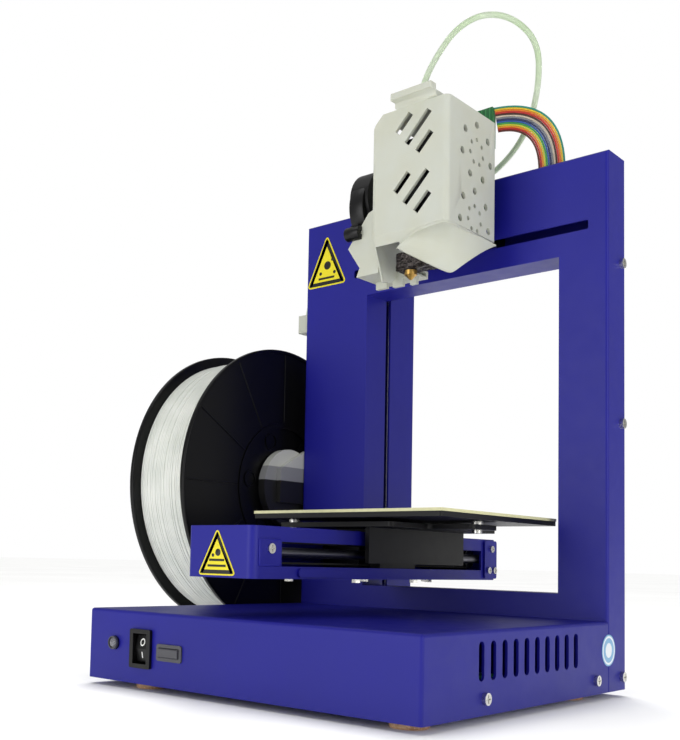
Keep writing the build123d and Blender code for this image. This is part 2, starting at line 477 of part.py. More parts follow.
NUT_H = 2.4
UNDER_NUTS = ((-30, -20), (-30, 60), (0, 10), (0, 75), (-16, 118), (-30, 135))
with BuildPart() as arm_screws:
    pan_head_x(ARM_X1, ARM_FRONT + 14, ARM_Z + 17, 1, r=ARM_SCREW_R * 1.2, h=1.8, shank=0)
    for y, z in ((ARM_BACK - 10, ARM_TOP - 7), (ARM_BACK - 14, ARM_Z + 7), (ARM_BACK - 6, ARM_Z + 7)):
        pan_head_x(ARM_X1 + SHEET, y, z, 1, r=ARM_SCREW_R, h=1.4, shank=0)
    with BuildSketch(Plane.XY.offset(ARM_Z - NUT_H)):
        with Locations(*UNDER_NUTS):
            RegularPolygon(2.9, 6)
    extrude(amount=NUT_H)
save(arm_screws, "arm_screws")

with BuildPart() as y_rods:
    for x in Y_ROD_X:
        rod_y(x, Y_AXIS_Z, ARM_FRONT + SHEET, ARM_BACK - SHEET, ROD_R)
save(y_rods, "y_rods")

with BuildPart() as y_motor:
    box(Y_BELT_X0 - 19, Y_BELT_X0 - 3, Y_MOTOR_Y - Y_MOTOR_SIDE / 2, Y_MOTOR_Y + Y_MOTOR_SIDE / 2,
        ARM_Z + SHEET, ARM_Z + SHEET + Y_MOTOR_SIDE + 1)
    rod_x(Y_MOTOR_Y, Y_AXIS_Z, Y_BELT_X0 - 3, Y_BELT_X0 - 2, 7)
save(y_motor, "y_motor")

with BuildPart() as y_pulley:
    with Locations(Plane((Y_BELT_X0, Y_MOTOR_Y, Y_AXIS_Z), z_dir=(1, 0, 0))):
        pulley_ring()
    rod_x(Y_MOTOR_Y, Y_AXIS_Z, Y_BELT_X0 - 2 + GAP, Y_BELT_X0, 2.5)
save(y_pulley, "y_pulley")

with BuildPart() as y_idler:
    with Locations(Plane((Y_BELT_X0, Y_IDLER_Y, Y_AXIS_Z), z_dir=(1, 0, 0))):
        pulley_ring()
    rod_x(Y_IDLER_Y, Y_AXIS_Z, Y_BELT_X0 - 1, Y_BELT_X0 + PULLEY_L + 1, 2 + FIT, Mode.SUBTRACT)
save(y_idler, "y_idler")

with BuildPart() as y_belt:
    mid = (Y_MOTOR_Y + Y_IDLER_Y) / 2
    with BuildSketch(Plane((Y_BELT_X0 + (PULLEY_L - BELT_W) / 2, mid, Y_AXIS_Z),
                           x_dir=(0, 1, 0), z_dir=(1, 0, 0))):
        belt_sketch((Y_MOTOR_Y - Y_IDLER_Y) / 2)
    extrude(amount=BELT_W)
save(y_belt, "y_belt")

# ---------------------------------------------------------------- Y carriage and bed
Y_CARR_L = 40.0
CARRIER_T = 3.0
BED_Z0 = BED_TOP - BOARD_T - BED_T
CARRIER_Z0 = BED_Z0 - 2.0 - CARRIER_T
BED_X0, BED_X1 = WINDOW_CX - BED_SIZE / 2, WINDOW_CX + BED_SIZE / 2
BED_Y0, BED_Y1 = BED_CY - BED_SIZE / 2, BED_CY + BED_SIZE / 2
TAB_Y0, TAB_Y1 = BED_CY - 29.0, BED_CY + 24.0

with BuildPart() as y_carriage:
    box(ARM_X + SHEET + 1, ARM_X1 - SHEET - 1, BED_CY - Y_CARR_L / 2, BED_CY + Y_CARR_L / 2,
        Y_AXIS_Z - 9, Y_AXIS_Z + 8)
    box(ARM_X + SHEET + ARM_LIP + 3, ARM_X1 - SHEET - ARM_LIP - 3, BED_CY - Y_CARR_L / 2,
        BED_CY + Y_CARR_L / 2, Y_AXIS_Z, CARRIER_Z0)
    box(ARM_X1 - 4, ARM_X1 + 5, TAB_Y0, TAB_Y1, Y_AXIS_Z - 5, Y_AXIS_Z + 3)
    box(ARM_X1 + 3.8, ARM_X1 + 6.8, BED_CY - 45, BED_CY + 66, Y_AXIS_Z - 5, CARRIER_Z0)
    for x in Y_ROD_X:
        rod_y(x, Y_AXIS_Z, BED_CY - 40, BED_CY + 40, ROD_R + FIT, Mode.SUBTRACT)
    box(Y_BELT_X0 - 1, Y_BELT_X0 + PULLEY_L + 1, BED_CY - 30, BED_CY + 30,
        Y_AXIS_Z - PULLEY_R - BELT_T - 1.2, Y_AXIS_Z + PULLEY_R + BELT_T + 0.3, Mode.SUBTRACT)
save(y_carriage, "y_carriage")

with BuildPart() as bed_carrier:
    box(BED_X0 + 9, BED_X1 - 43, BED_CY - 55, BED_CY + 69, CARRIER_Z0, CARRIER_Z0 + CARRIER_T)
    box(BED_X1 - 44, BED_X1 - 12, BED_CY - 15, BED_CY + 15, CARRIER_Z0, CARRIER_Z0 + CARRIER_T)
    fillet(bed_carrier.edges().filter_by(Axis.Z), 3.0)
save(bed_carrier, "bed_carrier")

BED_SCREWS = ((BED_X0 + 16, BED_CY - 48), (BED_X0 + 16, BED_CY + 62), (BED_X1 - 18, BED_CY))
with BuildPart() as bed_screws:
    for x, y in BED_SCREWS:
        rod_z(x, y, CARRIER_Z0 - 2.2, CARRIER_Z0, 3.0)
        rod_z(x, y, CARRIER_Z0 + CARRIER_T, BED_Z0, 3.6)
save(bed_screws, "bed_screws")

with BuildPart() as bed_plate:
    box(BED_X0, BED_X1, BED_Y0, BED_Y1, BED_Z0, BED_Z0 + BED_T)
    fillet(bed_plate.edges().filter_by(Axis.Z), 2.0)
save(bed_plate, "bed_plate")

with BuildPart() as print_board:
    box(BED_X0, BED_X1, BED_Y0, BED_Y1, BED_Z0 + BED_T, BED_TOP)
    fillet(print_board.edges().filter_by(Axis.Z), 1.0)
save(print_board, "print_board")

# ---------------------------------------------------------------- head
HEAD_X1, HEAD_BACK = HEAD_X + HEAD_W, HEAD_FRONT + HEAD_D
HEAD_Z0 = HEAD_TOP - HEAD_H
SKIRT_Z, TIP_Z = HEAD_TOP - 82.0, HEAD_TOP - 107.0
TIP_X, TIP_Y = HEAD_X1 - 12.0, HEAD_FRONT + 24.0
HEAD_R = 4.0
HOLE_STEP = 360 / 7      # seven small holes in each group, and big ones outside them
HOLE_START = {7: 90.0, 5: 90.0 - 2 * HOLE_STEP}
HOLE_GROUPS = ((HEAD_FRONT + 35.3, HEAD_TOP - 27.5, 7), (HEAD_FRONT + 33.3, HEAD_TOP - 72.5, 5))
MOTOR_X = NOZZLE_X + GEAR_R + FILAMENT_R
MOTOR_Y0 = HEAD_BACK - 4.5 - MOTOR_L
MOTOR_Z = HEAD_TOP - 38.0


def cover_form(wall):
    """The closed form of the head cover, moved in by a wall: a prism above a skirt that narrows."""
    r = HEAD_R - wall * 0.9
    tip_w, tip_d = TIP_X - HEAD_X, HEAD_BACK - TIP_Y + 12
    with BuildPart() as form:
        with BuildSketch(Plane.XY.offset(SKIRT_Z)):
            with Locations(((HEAD_X + HEAD_X1) / 2, (HEAD_FRONT + HEAD_BACK) / 2)):
                RectangleRounded(HEAD_W - 2 * wall, HEAD_D - 2 * wall, r)
        extrude(amount=HEAD_TOP - wall - SKIRT_Z)
        with BuildSketch(Plane.XY.offset(SKIRT_Z)):
            with Locations(((HEAD_X + HEAD_X1) / 2, (HEAD_FRONT + HEAD_BACK) / 2)):
                RectangleRounded(HEAD_W - 2 * wall, HEAD_D - 2 * wall, r)
        with BuildSketch(Plane.XY.offset(TIP_Z - 4)):
            with Locations((HEAD_X + tip_w / 2, HEAD_BACK - tip_d / 2)):
                RectangleRounded(tip_w - 2 * wall, tip_d - 2 * wall, r)
        loft()
    return form.part


outer_form = cover_form(0)
inner_form = cover_form(HEAD_WALL)
with BuildPart() as head_cover:
    add(outer_form)
    add(inner_form, mode=Mode.SUBTRACT)
    # rear left open, and the underside cut to its arched outline
    box(HEAD_X + HEAD_WALL, HEAD_X1 - HEAD_WALL, HEAD_BACK - 5, HEAD_BACK + 1, SKIRT_Z - 60,
        HEAD_TOP - HEAD_WALL, Mode.SUBTRACT)
    with BuildSketch(Plane.XZ.offset(-(HEAD_FRONT - 5))):
        with BuildLine():
            Polyline((HEAD_X - 5, 200), (HEAD_X - 5, HEAD_Z0 - 7), (HEAD_X, HEAD_Z0 - 3.2))
            ThreePointArc((HEAD_X, HEAD_Z0 - 3.2), (HEAD_X + 8.4, HEAD_Z0 + 1.0),
                          (NOZZLE_X + 2, HEAD_Z0 + 1.6))
            Polyline((NOZZLE_X + 2, HEAD_Z0 + 1.6), (TIP_X, TIP_Z), (TIP_X + 40, TIP_Z - 12),
                     (TIP_X + 40, 200), (HEAD_X - 5, 200))
        make_face()
    extrude(amount=-(HEAD_D + 10), mode=Mode.SUBTRACT)
    with BuildSketch(Plane.YZ.offset(HEAD_X - 5)):
        with BuildLine():
            Polyline((HEAD_FRONT - 5, 200), (HEAD_FRONT - 5, TIP_Z - 6), (TIP_Y, TIP_Z))
            ThreePointArc((TIP_Y, TIP_Z), (TIP_Y + 14, TIP_Z + 13), (HEAD_BACK - 4, HEAD_Z0 + 10))
            Polyline((HEAD_BACK - 4, HEAD_Z0 + 10), (HEAD_BACK + 5, HEAD_Z0 + 19), (HEAD_BACK + 5, 200),
                     (HEAD_FRONT - 5, 200))
        make_face()
    extrude(amount=HEAD_W + 10, mode=Mode.SUBTRACT)
    with BuildSketch(Plane.XZ.offset(-(HEAD_FRONT - 5))):
        with BuildLine():
            Polyline((HEAD_X - 1, HEAD_TOP - 10), (HEAD_X - 1, HEAD_TOP + 1),
                     (HEAD_X + 10, HEAD_TOP + 1), close=True)
        make_face()
    extrude(amount=-(HEAD_D + 10), mode=Mode.SUBTRACT)
    # two groups of three plain slanted vents in front
    with BuildSketch(Plane.XZ.offset(-(HEAD_FRONT + 1))):
        for z in (HEAD_TOP - 20, HEAD_TOP - 58):
            for k, length in ((-1, 14), (0, 24), (1, 14)):
                with Locations((HEAD_X + 33 + 8 * k, z - 4 * k)):
                    SlotOverall(length, 4.2, rotation=48)
    extrude(amount=4, both=True, mode=Mode.SUBTRACT)
    with BuildSketch(Plane.YZ.offset(HEAD_X1 - 1)):
        for y0, z0, n_big in HOLE_GROUPS:
            with Locations((y0, z0)):
                with PolarLocations(8.2, 7, start_angle=90):
                    Circle(1.5)
                with PolarLocations(18.2, n_big, start_angle=HOLE_START[n_big],
                                    angular_range=HOLE_STEP * n_big):
                    Circle(2.4)
    extrude(amount=4, both=True, mode=Mode.SUBTRACT)
save(head_cover, "head_cover")

with BuildPart() as head_cap:
    box(HEAD_X + 20, HEAD_X + 51, HEAD_FRONT - 8, HEAD_FRONT + 26, HEAD_TOP, HEAD_TOP + 4)
    box(HEAD_X + 20, HEAD_X + 51, HEAD_FRONT - 8, HEAD_FRONT - 2, HEAD_TOP, HEAD_TOP + 9)
    rod_z(NOZZLE_X, NOZZLE_Y, HEAD_TOP, HEAD_TOP + 9, 5.0)
    rod_z(NOZZLE_X, NOZZLE_Y, HEAD_TOP - 1, HEAD_TOP + 10, TUBE_D / 2, Mode.SUBTRACT)
    fillet(head_cap.edges().filter_by(Axis.Z).group_by(Axis.Y)[0], 1.0)
save(head_cap, "head_cap")

with BuildPart() as head_bracket:
    box(NECK_X0, NECK_X1, HEAD_FRONT + 5, X_CARR_Y0, NECK_Z0, NECK_Z0 + NECK_T)
    rod_z(NOZZLE_X, NOZZLE_Y, NECK_Z0 - 1, NECK_Z0 + NECK_T + 1, 4.0, Mode.SUBTRACT)
save(head_bracket, "head_bracket")

with BuildPart() as extruder_motor:
    box(MOTOR_X - MOTOR_SIDE / 2, MOTOR_X + MOTOR_SIDE / 2, MOTOR_Y0, MOTOR_Y0 + MOTOR_L,
        MOTOR_Z - MOTOR_SIDE / 2, MOTOR_Z + MOTOR_SIDE / 2)
    chamfer(extruder_motor.edges().filter_by(Axis.Y), 3.5)
save(extruder_motor, "extruder_motor")

BODY_Y0 = NOZZLE_Y - 6.0
IDLER_R = 5.0
IDLER_X = NOZZLE_X - FILAMENT_R - IDLER_R
with BuildPart() as extruder_body:
    box(MOTOR_X - MOTOR_SIDE / 2, MOTOR_X + MOTOR_SIDE / 2, BODY_Y0, MOTOR_Y0,
        MOTOR_Z - MOTOR_SIDE / 2, MOTOR_Z + MOTOR_SIDE / 2)
    chamfer(extruder_body.edges().filter_by(Axis.Y), 3.0)
    box(NOZZLE_X - 7, NOZZLE_X + 7, BODY_Y0, MOTOR_Y0, NECK_Z0 + NECK_T, MOTOR_Z - MOTOR_SIDE / 2)
    rod_y(MOTOR_X, MOTOR_Z, BODY_Y0 - 1, MOTOR_Y0 + 1, GEAR_R + 1.2, Mode.SUBTRACT)
    rod_y(IDLER_X, MOTOR_Z, BODY_Y0 - 1, NOZZLE_Y + 4.5, IDLER_R + 1.0, Mode.SUBTRACT)
    rod_z(NOZZLE_X, NOZZLE_Y, NECK_Z0, HEAD_TOP, 1.6, Mode.SUBTRACT)
    rod_y(IDLER_X, MOTOR_Z, NOZZLE_Y - 2.5, NOZZLE_Y + 5, 2.0)
save(extruder_body, "extruder_body")

with BuildPart() as drive_gear:
    rod_y(MOTOR_X, MOTOR_Z, NOZZLE_Y - 5, NOZZLE_Y + 5, GEAR_R)
    with Locations(Plane((MOTOR_X, NOZZLE_Y - 2.5, MOTOR_Z), z_dir=(0, 1, 0))):
        with PolarLocations(GEAR_R, 22):
            Box(0.8, 0.7, 5, align=(Align.CENTER, Align.CENTER, Align.MIN), mode=Mode.SUBTRACT)
    rod_y(MOTOR_X, MOTOR_Z, NOZZLE_Y + 5, MOTOR_Y0 - GAP, 2.5)
save(drive_gear, "drive_gear")

with BuildPart() as idler_bearing:
    rod_y(IDLER_X, MOTOR_Z, NOZZLE_Y - 2.5, NOZZLE_Y + 2.5, IDLER_R)
    rod_y(IDLER_X, MOTOR_Z, NOZZLE_Y - 3, NOZZLE_Y + 3, 2.0 + FIT, Mode.SUBTRACT)
save(idler_bearing, "idler_bearing")

BLOCK_Z0, BLOCK_Z1 = NOZZLE_Z + 6.0, NOZZLE_Z + 19.0
with BuildPart() as heat_break:
    rod_z(NOZZLE_X, NOZZLE_Y, BLOCK_Z1, NECK_Z0 + NECK_T, 4.0)
    rod_z(NOZZLE_X, NOZZLE_Y, BLOCK_Z1 + 3, NECK_Z0, 6.5)
    rod_z(NOZZLE_X, NOZZLE_Y, BLOCK_Z1 - 1, NECK_Z0 + NECK_T + 1, 1.2, Mode.SUBTRACT)
save(heat_break, "heat_break")

with BuildPart() as heater_block:
    box(NOZZLE_X - 10, NOZZLE_X + 18, NOZZLE_Y - 4.6, NOZZLE_Y + 9, BLOCK_Z0, BLOCK_Z1)
    fillet(heater_block.edges(), 1.6)
    rod_z(NOZZLE_X, NOZZLE_Y, BLOCK_Z0 - 1, BLOCK_Z1 + 1, 1.2, Mode.SUBTRACT)
save(heater_block, "heater_block")

with BuildPart() as nozzle:
    with BuildSketch(Plane.XZ.offset(-NOZZLE_Y)):
        with BuildLine():
            Polyline((NOZZLE_X + 0.3, NOZZLE_Z), (NOZZLE_X + 0.9, NOZZLE_Z), (NOZZLE_X + 3.6, NOZZLE_Z + 3),
                     (NOZZLE_X + 4.2, NOZZLE_Z + 3), (NOZZLE_X + 4.2, BLOCK_Z0), (NOZZLE_X + 0.3, BLOCK_Z0),
                     close=True)
        make_face()
    revolve(axis=Axis((NOZZLE_X, NOZZLE_Y, 0), (0, 0, 1)))
save(nozzle, "nozzle")

# Radial blower at the left, with its duct running down to a comb behind the nozzle.
BLOWER_X1 = HEAD_X - 12.0
BLOWER_Y, BLOWER_Z = HEAD_FRONT + 36.0, HEAD_TOP - 46.0
with BuildPart() as blower_housing:
    with BuildSketch(Plane.YZ.offset(BLOWER_X1 - BLOWER_T)):
        with Locations((BLOWER_Y, BLOWER_Z)):
            Circle(BLOWER_R)
        with Locations((BLOWER_Y + BLOWER_R / 2 - 1, BLOWER_Z - BLOWER_R / 2 - 2)):
            Rectangle(BLOWER_R, BLOWER_R + 6)
    extrude(amount=BLOWER_T)
    rod_x(BLOWER_Y, BLOWER_Z, BLOWER_X1 - BLOWER_T + 1.5, BLOWER_X1 + 1, BLOWER_R - 4, Mode.SUBTRACT)
    rod_x(BLOWER_Y, BLOWER_Z, BLOWER_X1 - BLOWER_T - 1, BLOWER_X1, 12, Mode.SUBTRACT)
    with Locations(Plane((BLOWER_X1 - BLOWER_T, BLOWER_Y, BLOWER_Z), z_dir=(1, 0, 0))):
        with PolarLocations(6.5, 3, start_angle=30):
            Box(14, 2, 1.5, align=(Align.CENTER, Align.CENTER, Align.MIN))
    rod_x(BLOWER_Y, BLOWER_Z, BLOWER_X1 - BLOWER_T, BLOWER_X1 - BLOWER_T + 1.5, 4)
    rod_x(BLOWER_Y, BLOWER_Z, BLOWER_X1 - BLOWER_T, BLOWER_X1 - 4, 1.5)
save(blower_housing, "blower_housing")

with BuildPart() as blower_rotor:
    x0, x1 = BLOWER_X1 - BLOWER_T + 1.5 + GAP, BLOWER_X1 - 1
    rod_x(BLOWER_Y, BLOWER_Z, x0, x1, 8)
    rod_x(BLOWER_Y, BLOWER_Z, x0, x0 + 1, BLOWER_R - 5)
    with Locations(Plane((x0, BLOWER_Y, BLOWER_Z), z_dir=(1, 0, 0))):
        with PolarLocations(BLOWER_R - 7.5, 20):
            Box(5, 0.9, x1 - x0 - 1, align=(Align.CENTER, Align.CENTER, Align.MIN))
    rod_x(BLOWER_Y, BLOWER_Z, x0 - 1, BLOWER_X1 - 4 + GAP, 1.5 + FIT, Mode.SUBTRACT)
save(blower_rotor, "blower_rotor")

DUCT_Y0, DUCT_Y1 = NOZZLE_Y + 13.0, NOZZLE_Y + 27.0
DUCT_FRONT = BLOWER_Y - BLOWER_R - 2.5
OUTLET_Z = BLOWER_Z - BLOWER_R - 5.0
COMB_Z = SKIRT_Z - 21.0
with BuildPart() as air_duct:
    with BuildSketch(Plane.XZ.offset(-DUCT_FRONT)):
        with BuildLine():
            Polyline((HEAD_X - 0.5, OUTLET_Z + 17), (HEAD_X - 9, OUTLET_Z + 14), (HEAD_X - 26, OUTLET_Z - 8),
                     (HEAD_X - 0.5, OUTLET_Z - 8), close=True)
        make_face()
    extrude(amount=-2)
    with BuildSketch(Plane.XZ.offset(-DUCT_FRONT)):
        with BuildLine():
            Polyline((HEAD_X - 0.5, OUTLET_Z), (HEAD_X - 19.8, OUTLET_Z), (HEAD_X - 26, OUTLET_Z - 8),
                     (HEAD_X - 16, COMB_Z + 6), (HEAD_X - 18.5, COMB_Z), (HEAD_X - 0.5, COMB_Z), close=True)
        make_face()
    extrude(amount=-(DUCT_Y1 - DUCT_FRONT))
    box(HEAD_X - 10, NOZZLE_X - 4, DUCT_Y0, DUCT_Y1, COMB_Z, COMB_Z + 5)
    box(BLOWER_X1 - BLOWER_T + 2, BLOWER_X1 - 2, BLOWER_Y + 2, DUCT_Y1 - 2,
        COMB_Z + 8, OUTLET_Z + 1, Mode.SUBTRACT)
    box(BLOWER_X1 - BLOWER_T + 8, NOZZLE_X - 3, DUCT_Y0 + 2, DUCT_Y1 - 2,
        COMB_Z + 1.2, COMB_Z + 3.8, Mode.SUBTRACT)
    box(BLOWER_X1 - BLOWER_T + 8, BLOWER_X1 - 2, DUCT_Y0 + 2, DUCT_Y1 - 2,
        COMB_Z + 1.2, COMB_Z + 9, Mode.SUBTRACT)
    for x, w, drop in ((HEAD_X - 16, 9, 5), (HEAD_X - 2, 8, 5.5), (HEAD_X + 12, 5, 6)):
        box(x, x + w, DUCT_Y0, DUCT_Y0 + 3, COMB_Z - drop, COMB_Z)
save(air_duct, "air_duct")

with BuildPart() as head_board:
    box(HEAD_X + 4, HEAD_X1 - 4, HEAD_BACK - 4.5, HEAD_BACK - 2.9, NECK_Z0 + 12, HEAD_TOP - 3)
    box(HEAD_X1 - 18, HEAD_X1 - 4, HEAD_BACK - 2.9, HEAD_BACK + 5, HEAD_TOP - 14, HEAD_TOP - HEAD_WALL - 1)
    box(HEAD_X1 - 18, HEAD_X1 - 4, HEAD_BACK + GAP, HEAD_BACK + 5, HEAD_TOP - 14, HEAD_TOP + 14)
save(head_board, "head_board")

# ---------------------------------------------------------------- spool and its holder
HOLDER_X = -BASE_X
SPINDLE_END = SPOOL_X - SPOOL_W - 1.0
with BuildPart() as spool_holder:
    with BuildSketch(Plane.YZ.offset(HOLDER_X)):
        with BuildLine():
            Polyline((SPOOL_Y - 16, SPOOL_Z - 12), (PORTAL_BACK - 4, SPOOL_Z - 12),
                     (PORTAL_BACK - 4, SPOOL_Z + 30),
                     (BASE_Y + 4, SPOOL_Z + 30), (SPOOL_Y - 16, SPOOL_Z + 14), close=True)
        make_face()
    extrude(amount=-4)
    rod_x(SPOOL_Y, SPOOL_Z, SPINDLE_END, HOLDER_X - 4, SPOOL_BORE_R - FIT)
    rod_x(SPOOL_Y, SPOOL_Z, SPOOL_X + GAP, HOLDER_X - 4, SPOOL_BORE_R + 4)
    rod_x(SPOOL_Y, SPOOL_Z, SPINDLE_END - 1, SPOOL_X + 1, SPOOL_BORE_R - 4, Mode.SUBTRACT)
save(spool_holder, "spool_holder")

with BuildPart() as spool:
    rod_x(SPOOL_Y, SPOOL_Z, SPOOL_X - SPOOL_W, SPOOL_X, SPOOL_HUB_R)
    for x in (SPOOL_X - SPOOL_W, SPOOL_X - SPOOL_RIM):
        rod_x(SPOOL_Y, SPOOL_Z, x, x + SPOOL_RIM, SPOOL_R)
    fillet(spool.edges().filter_by(GeomType.CIRCLE).filter_by(lambda e: e.radius > SPOOL_R - 1), 1.2)
    rod_x(SPOOL_Y, SPOOL_Z, SPOOL_X - SPOOL_W - 1, SPOOL_X + 1, SPOOL_BORE_R, Mode.SUBTRACT)
save(spool, "spool")

with BuildPart() as filament_winding:
    rod_x(SPOOL_Y, SPOOL_Z, SPOOL_X - SPOOL_W + SPOOL_RIM, SPOOL_X - SPOOL_RIM, WOUND_R)
    rod_x(SPOOL_Y, SPOOL_Z, SPOOL_X - SPOOL_W - 1, SPOOL_X + 1, SPOOL_HUB_R, Mode.SUBTRACT)
save(filament_winding, "filament_winding")

# ---------------------------------------------------------------- ribbon cable and filament tube
GUIDE_X, GUIDE_Y = -BASE_X - 6.0, BASE_Y + 10.0
GUIDE_Z0, GUIDE_Z1 = PORTAL_TOP - 83.0, PORTAL_TOP - 69.0
with BuildPart() as tube_guide:
    box(-BASE_X - 12, -BASE_X, GUIDE_Y - 6, GUIDE_Y + 6, GUIDE_Z0, GUIDE_Z1)
    fillet(tube_guide.edges().filter_by(Axis.Z), 2.0)
    rod_z(GUIDE_X, GUIDE_Y, GUIDE_Z0 - 1, GUIDE_Z1 + 1, TUBE_D / 2, Mode.SUBTRACT)
save(tube_guide, "tube_guide")

# Up from the head, over in a loop behind the ribbon, along the portal's top and down to the guide.
# X is counted from the nozzle, y as a share of the way back to the portal, and z from the top of
# the head or of the portal.
TUBE_RUN = GUIDE_X - NOZZLE_X
TUBE_BACK = BASE_Y - NOZZLE_Y
TUBE_ROUTE = [(NOZZLE_X, NOZZLE_Y, HEAD_TOP + 9)] + [
    (NOZZLE_X + dx, NOZZLE_Y + TUBE_BACK * y, z) for dx, y, z in (
        (1.5, 0.027, HEAD_TOP + 22), (8.7, 0.164, HEAD_TOP + 43), (19.7, 0.376, HEAD_TOP + 69),
        (36.7, 0.659, HEAD_TOP + 81), (53.7, 0.907, HEAD_TOP + 75), (62.2, 1.119, HEAD_TOP + 55),
        (56.7, 1.261, PORTAL_TOP + 62), (43.7, 1.403, PORTAL_TOP + 41), (24.7, 1.544, PORTAL_TOP + 27),
        (TUBE_RUN * 0.023, 1.686, PORTAL_TOP + 16), (TUBE_RUN * 0.235, 1.827, PORTAL_TOP + 8),
        (TUBE_RUN * 0.46, 1.916, PORTAL_TOP + 2), (TUBE_RUN * 0.686, 1.898, PORTAL_TOP - 4),
        (TUBE_RUN * 0.87, 1.774, PORTAL_TOP - 15), (TUBE_RUN * 0.982, 1.509, PORTAL_TOP - 33))
] + [(GUIDE_X, GUIDE_Y + 3, GUIDE_Z1 + 18), (GUIDE_X, GUIDE_Y, GUIDE_Z1)]


def bend_radii(route):
    """The largest tangent arc at each inner point of a route, by the shorter run beside it."""
    points = [Vector(*p) for p in route]
    radii = []
    for a, b, c in zip(points, points[1:], points[2:]):
        half_turn = radians((b - a).get_angle(c - b)) / 2
        radii.append(0.45 * min((b - a).length, (c - b).length) / tan(half_turn))
    return radii


with BuildPart() as filament_tube:
    radii = bend_radii(TUBE_ROUTE)
    with BuildLine() as tube_line:
        FilletPolyline(*TUBE_ROUTE, radius=radii)
    wire = tube_line.wires()[0]
    with BuildSketch(Plane(origin=wire @ 0, z_dir=wire % 0)):
        Circle(TUBE_D / 2)
    sweep(path=wire)
print("tube radii", [round(r, 1) for r in radii], "length", round(wire.length, 1))
print("tube volume ratio", round(filament_tube.part.volume / (pi * (TUBE_D / 2) ** 2 * wire.length), 4))
save(filament_tube, "filament_tube")

with BuildPart() as ribbon_cable:
    corner = RIBBON_START + RIBBON_FLAT + Vector(0, 0, 5)
    with BuildLine() as ribbon_line:
        FilletPolyline(RIBBON_START, corner, RIBBON_END, radius=30)
    wire = ribbon_line.wires()[0]
    across = RIBBON_FLAT.cross(Vector(0, 0, 1)).normalized()
    with BuildSketch(Plane(origin=wire @ 0, x_dir=across, z_dir=wire % 0)):
        Rectangle(RIBBON_T, RIBBON_W)
    sweep(path=wire)
save(ribbon_cable, "ribbon_cable")
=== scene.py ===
"""Desktop filament printer, laid out as an add-on: one operator for each piece or group of like pieces,
one for the stage, and a panel in the sidebar that lists them. Lengths are in metres."""
import math
import random

import bmesh
import bpy
from bpy.props import FloatProperty, FloatVectorProperty, IntProperty, PointerProperty
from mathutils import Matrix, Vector


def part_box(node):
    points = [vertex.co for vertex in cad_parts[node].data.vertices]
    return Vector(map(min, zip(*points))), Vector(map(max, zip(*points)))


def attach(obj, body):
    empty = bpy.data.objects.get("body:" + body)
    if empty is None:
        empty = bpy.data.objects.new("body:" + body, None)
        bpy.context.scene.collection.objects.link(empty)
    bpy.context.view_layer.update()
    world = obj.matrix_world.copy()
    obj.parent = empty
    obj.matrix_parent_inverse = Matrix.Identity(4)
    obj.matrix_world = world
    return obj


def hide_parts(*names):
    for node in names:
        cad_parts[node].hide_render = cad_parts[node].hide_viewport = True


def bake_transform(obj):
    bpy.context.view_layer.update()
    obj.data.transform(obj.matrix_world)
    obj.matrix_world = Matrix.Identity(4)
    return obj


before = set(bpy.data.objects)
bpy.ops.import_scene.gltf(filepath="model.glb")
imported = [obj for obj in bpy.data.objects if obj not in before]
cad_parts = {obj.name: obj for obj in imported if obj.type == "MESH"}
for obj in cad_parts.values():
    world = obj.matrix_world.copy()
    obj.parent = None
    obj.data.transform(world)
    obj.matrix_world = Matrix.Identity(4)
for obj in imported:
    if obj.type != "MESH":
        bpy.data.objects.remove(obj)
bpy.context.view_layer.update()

bl_info = {
    "name": "Desktop Filament Printer",
    "version": (1, 0, 0),
    "blender": (4, 5, 0),
    "location": "3D View > Sidebar > Printer",
    "description": "Builds a desktop filament printer around its packed frame",
    "category": "Add Mesh",
}

MM = 0.001
WAVE = 2 * math.pi / 20  # a band texture repeats at this length over its Scale


def srgb(code):
    """A colour written as sRGB hex, as Blender's linear red, green, blue and alpha."""
    parts = [int(code[i:i + 2], 16) / 255 for i in (0, 2, 4)]
    return tuple(c / 12.92 if c <= 0.04045 else ((c + 0.055) / 1.055) ** 2.4 for c in parts) + (1.0,)


def mm(*values):
    """A point given in millimetres, in metres."""
    return Vector([v * MM for v in values])


# ---------------------------------------------------------------- what a user would change
class PrinterFinish(bpy.types.PropertyGroup):
    """Colours of the main finishes."""
    coat: FloatVectorProperty(name="Powder coat", description="Colour of the folded steel sheet",
                              subtype="COLOR", size=4, min=0, max=1, default=srgb("17178C"))
    shell: FloatVectorProperty(name="Printed ABS", description="Colour of the head cover and duct",
                               subtype="COLOR", size=4, min=0, max=1, default=srgb("C9CCC1"))
    board: FloatVectorProperty(name="Print board", description="Colour of the perforated board",
                               subtype="COLOR", size=4, min=0, max=1, default=srgb("E8E6B4"))


class PrinterSizes(bpy.types.PropertyGroup):
    """Sizes of the pieces that are finished here."""
    tube: FloatProperty(name="Tube diameter", description="Outer diameter of the filament tube",
                        unit="LENGTH", default=4 * MM, min=1 * MM)
    wire: FloatProperty(name="Ribbon wire", description="Diameter and pitch of the ribbon's wires",
                        unit="LENGTH", default=1.27 * MM, min=0.3 * MM)
    strand: FloatProperty(name="Wound strand", description="Pitch of the filament on the spool",
                          unit="LENGTH", default=1.75 * MM, min=1 * MM)
    hole_pitch: FloatProperty(name="Hole pitch", description="Distance between the print board's holes",
                              unit="LENGTH", default=2.54 * MM, min=1 * MM)
    spool_arms: IntProperty(name="Spool ribs", description="Radial ribs on each spool flange",
                            default=12, min=3)


# ---------------------------------------------------------------- small helpers
def add_node(tree, kind, inputs=None, links=None, **settings):
    """Add a node, with its own settings, its socket values and the sockets that feed it."""
    node = tree.nodes.new(kind)
    for key, value in settings.items():
        setattr(node, key, value)
    for key, value in (inputs or {}).items():
        node.inputs[key].default_value = value
    for key, socket in (links or {}).items():
        tree.links.new(socket, node.inputs[key])
    return node


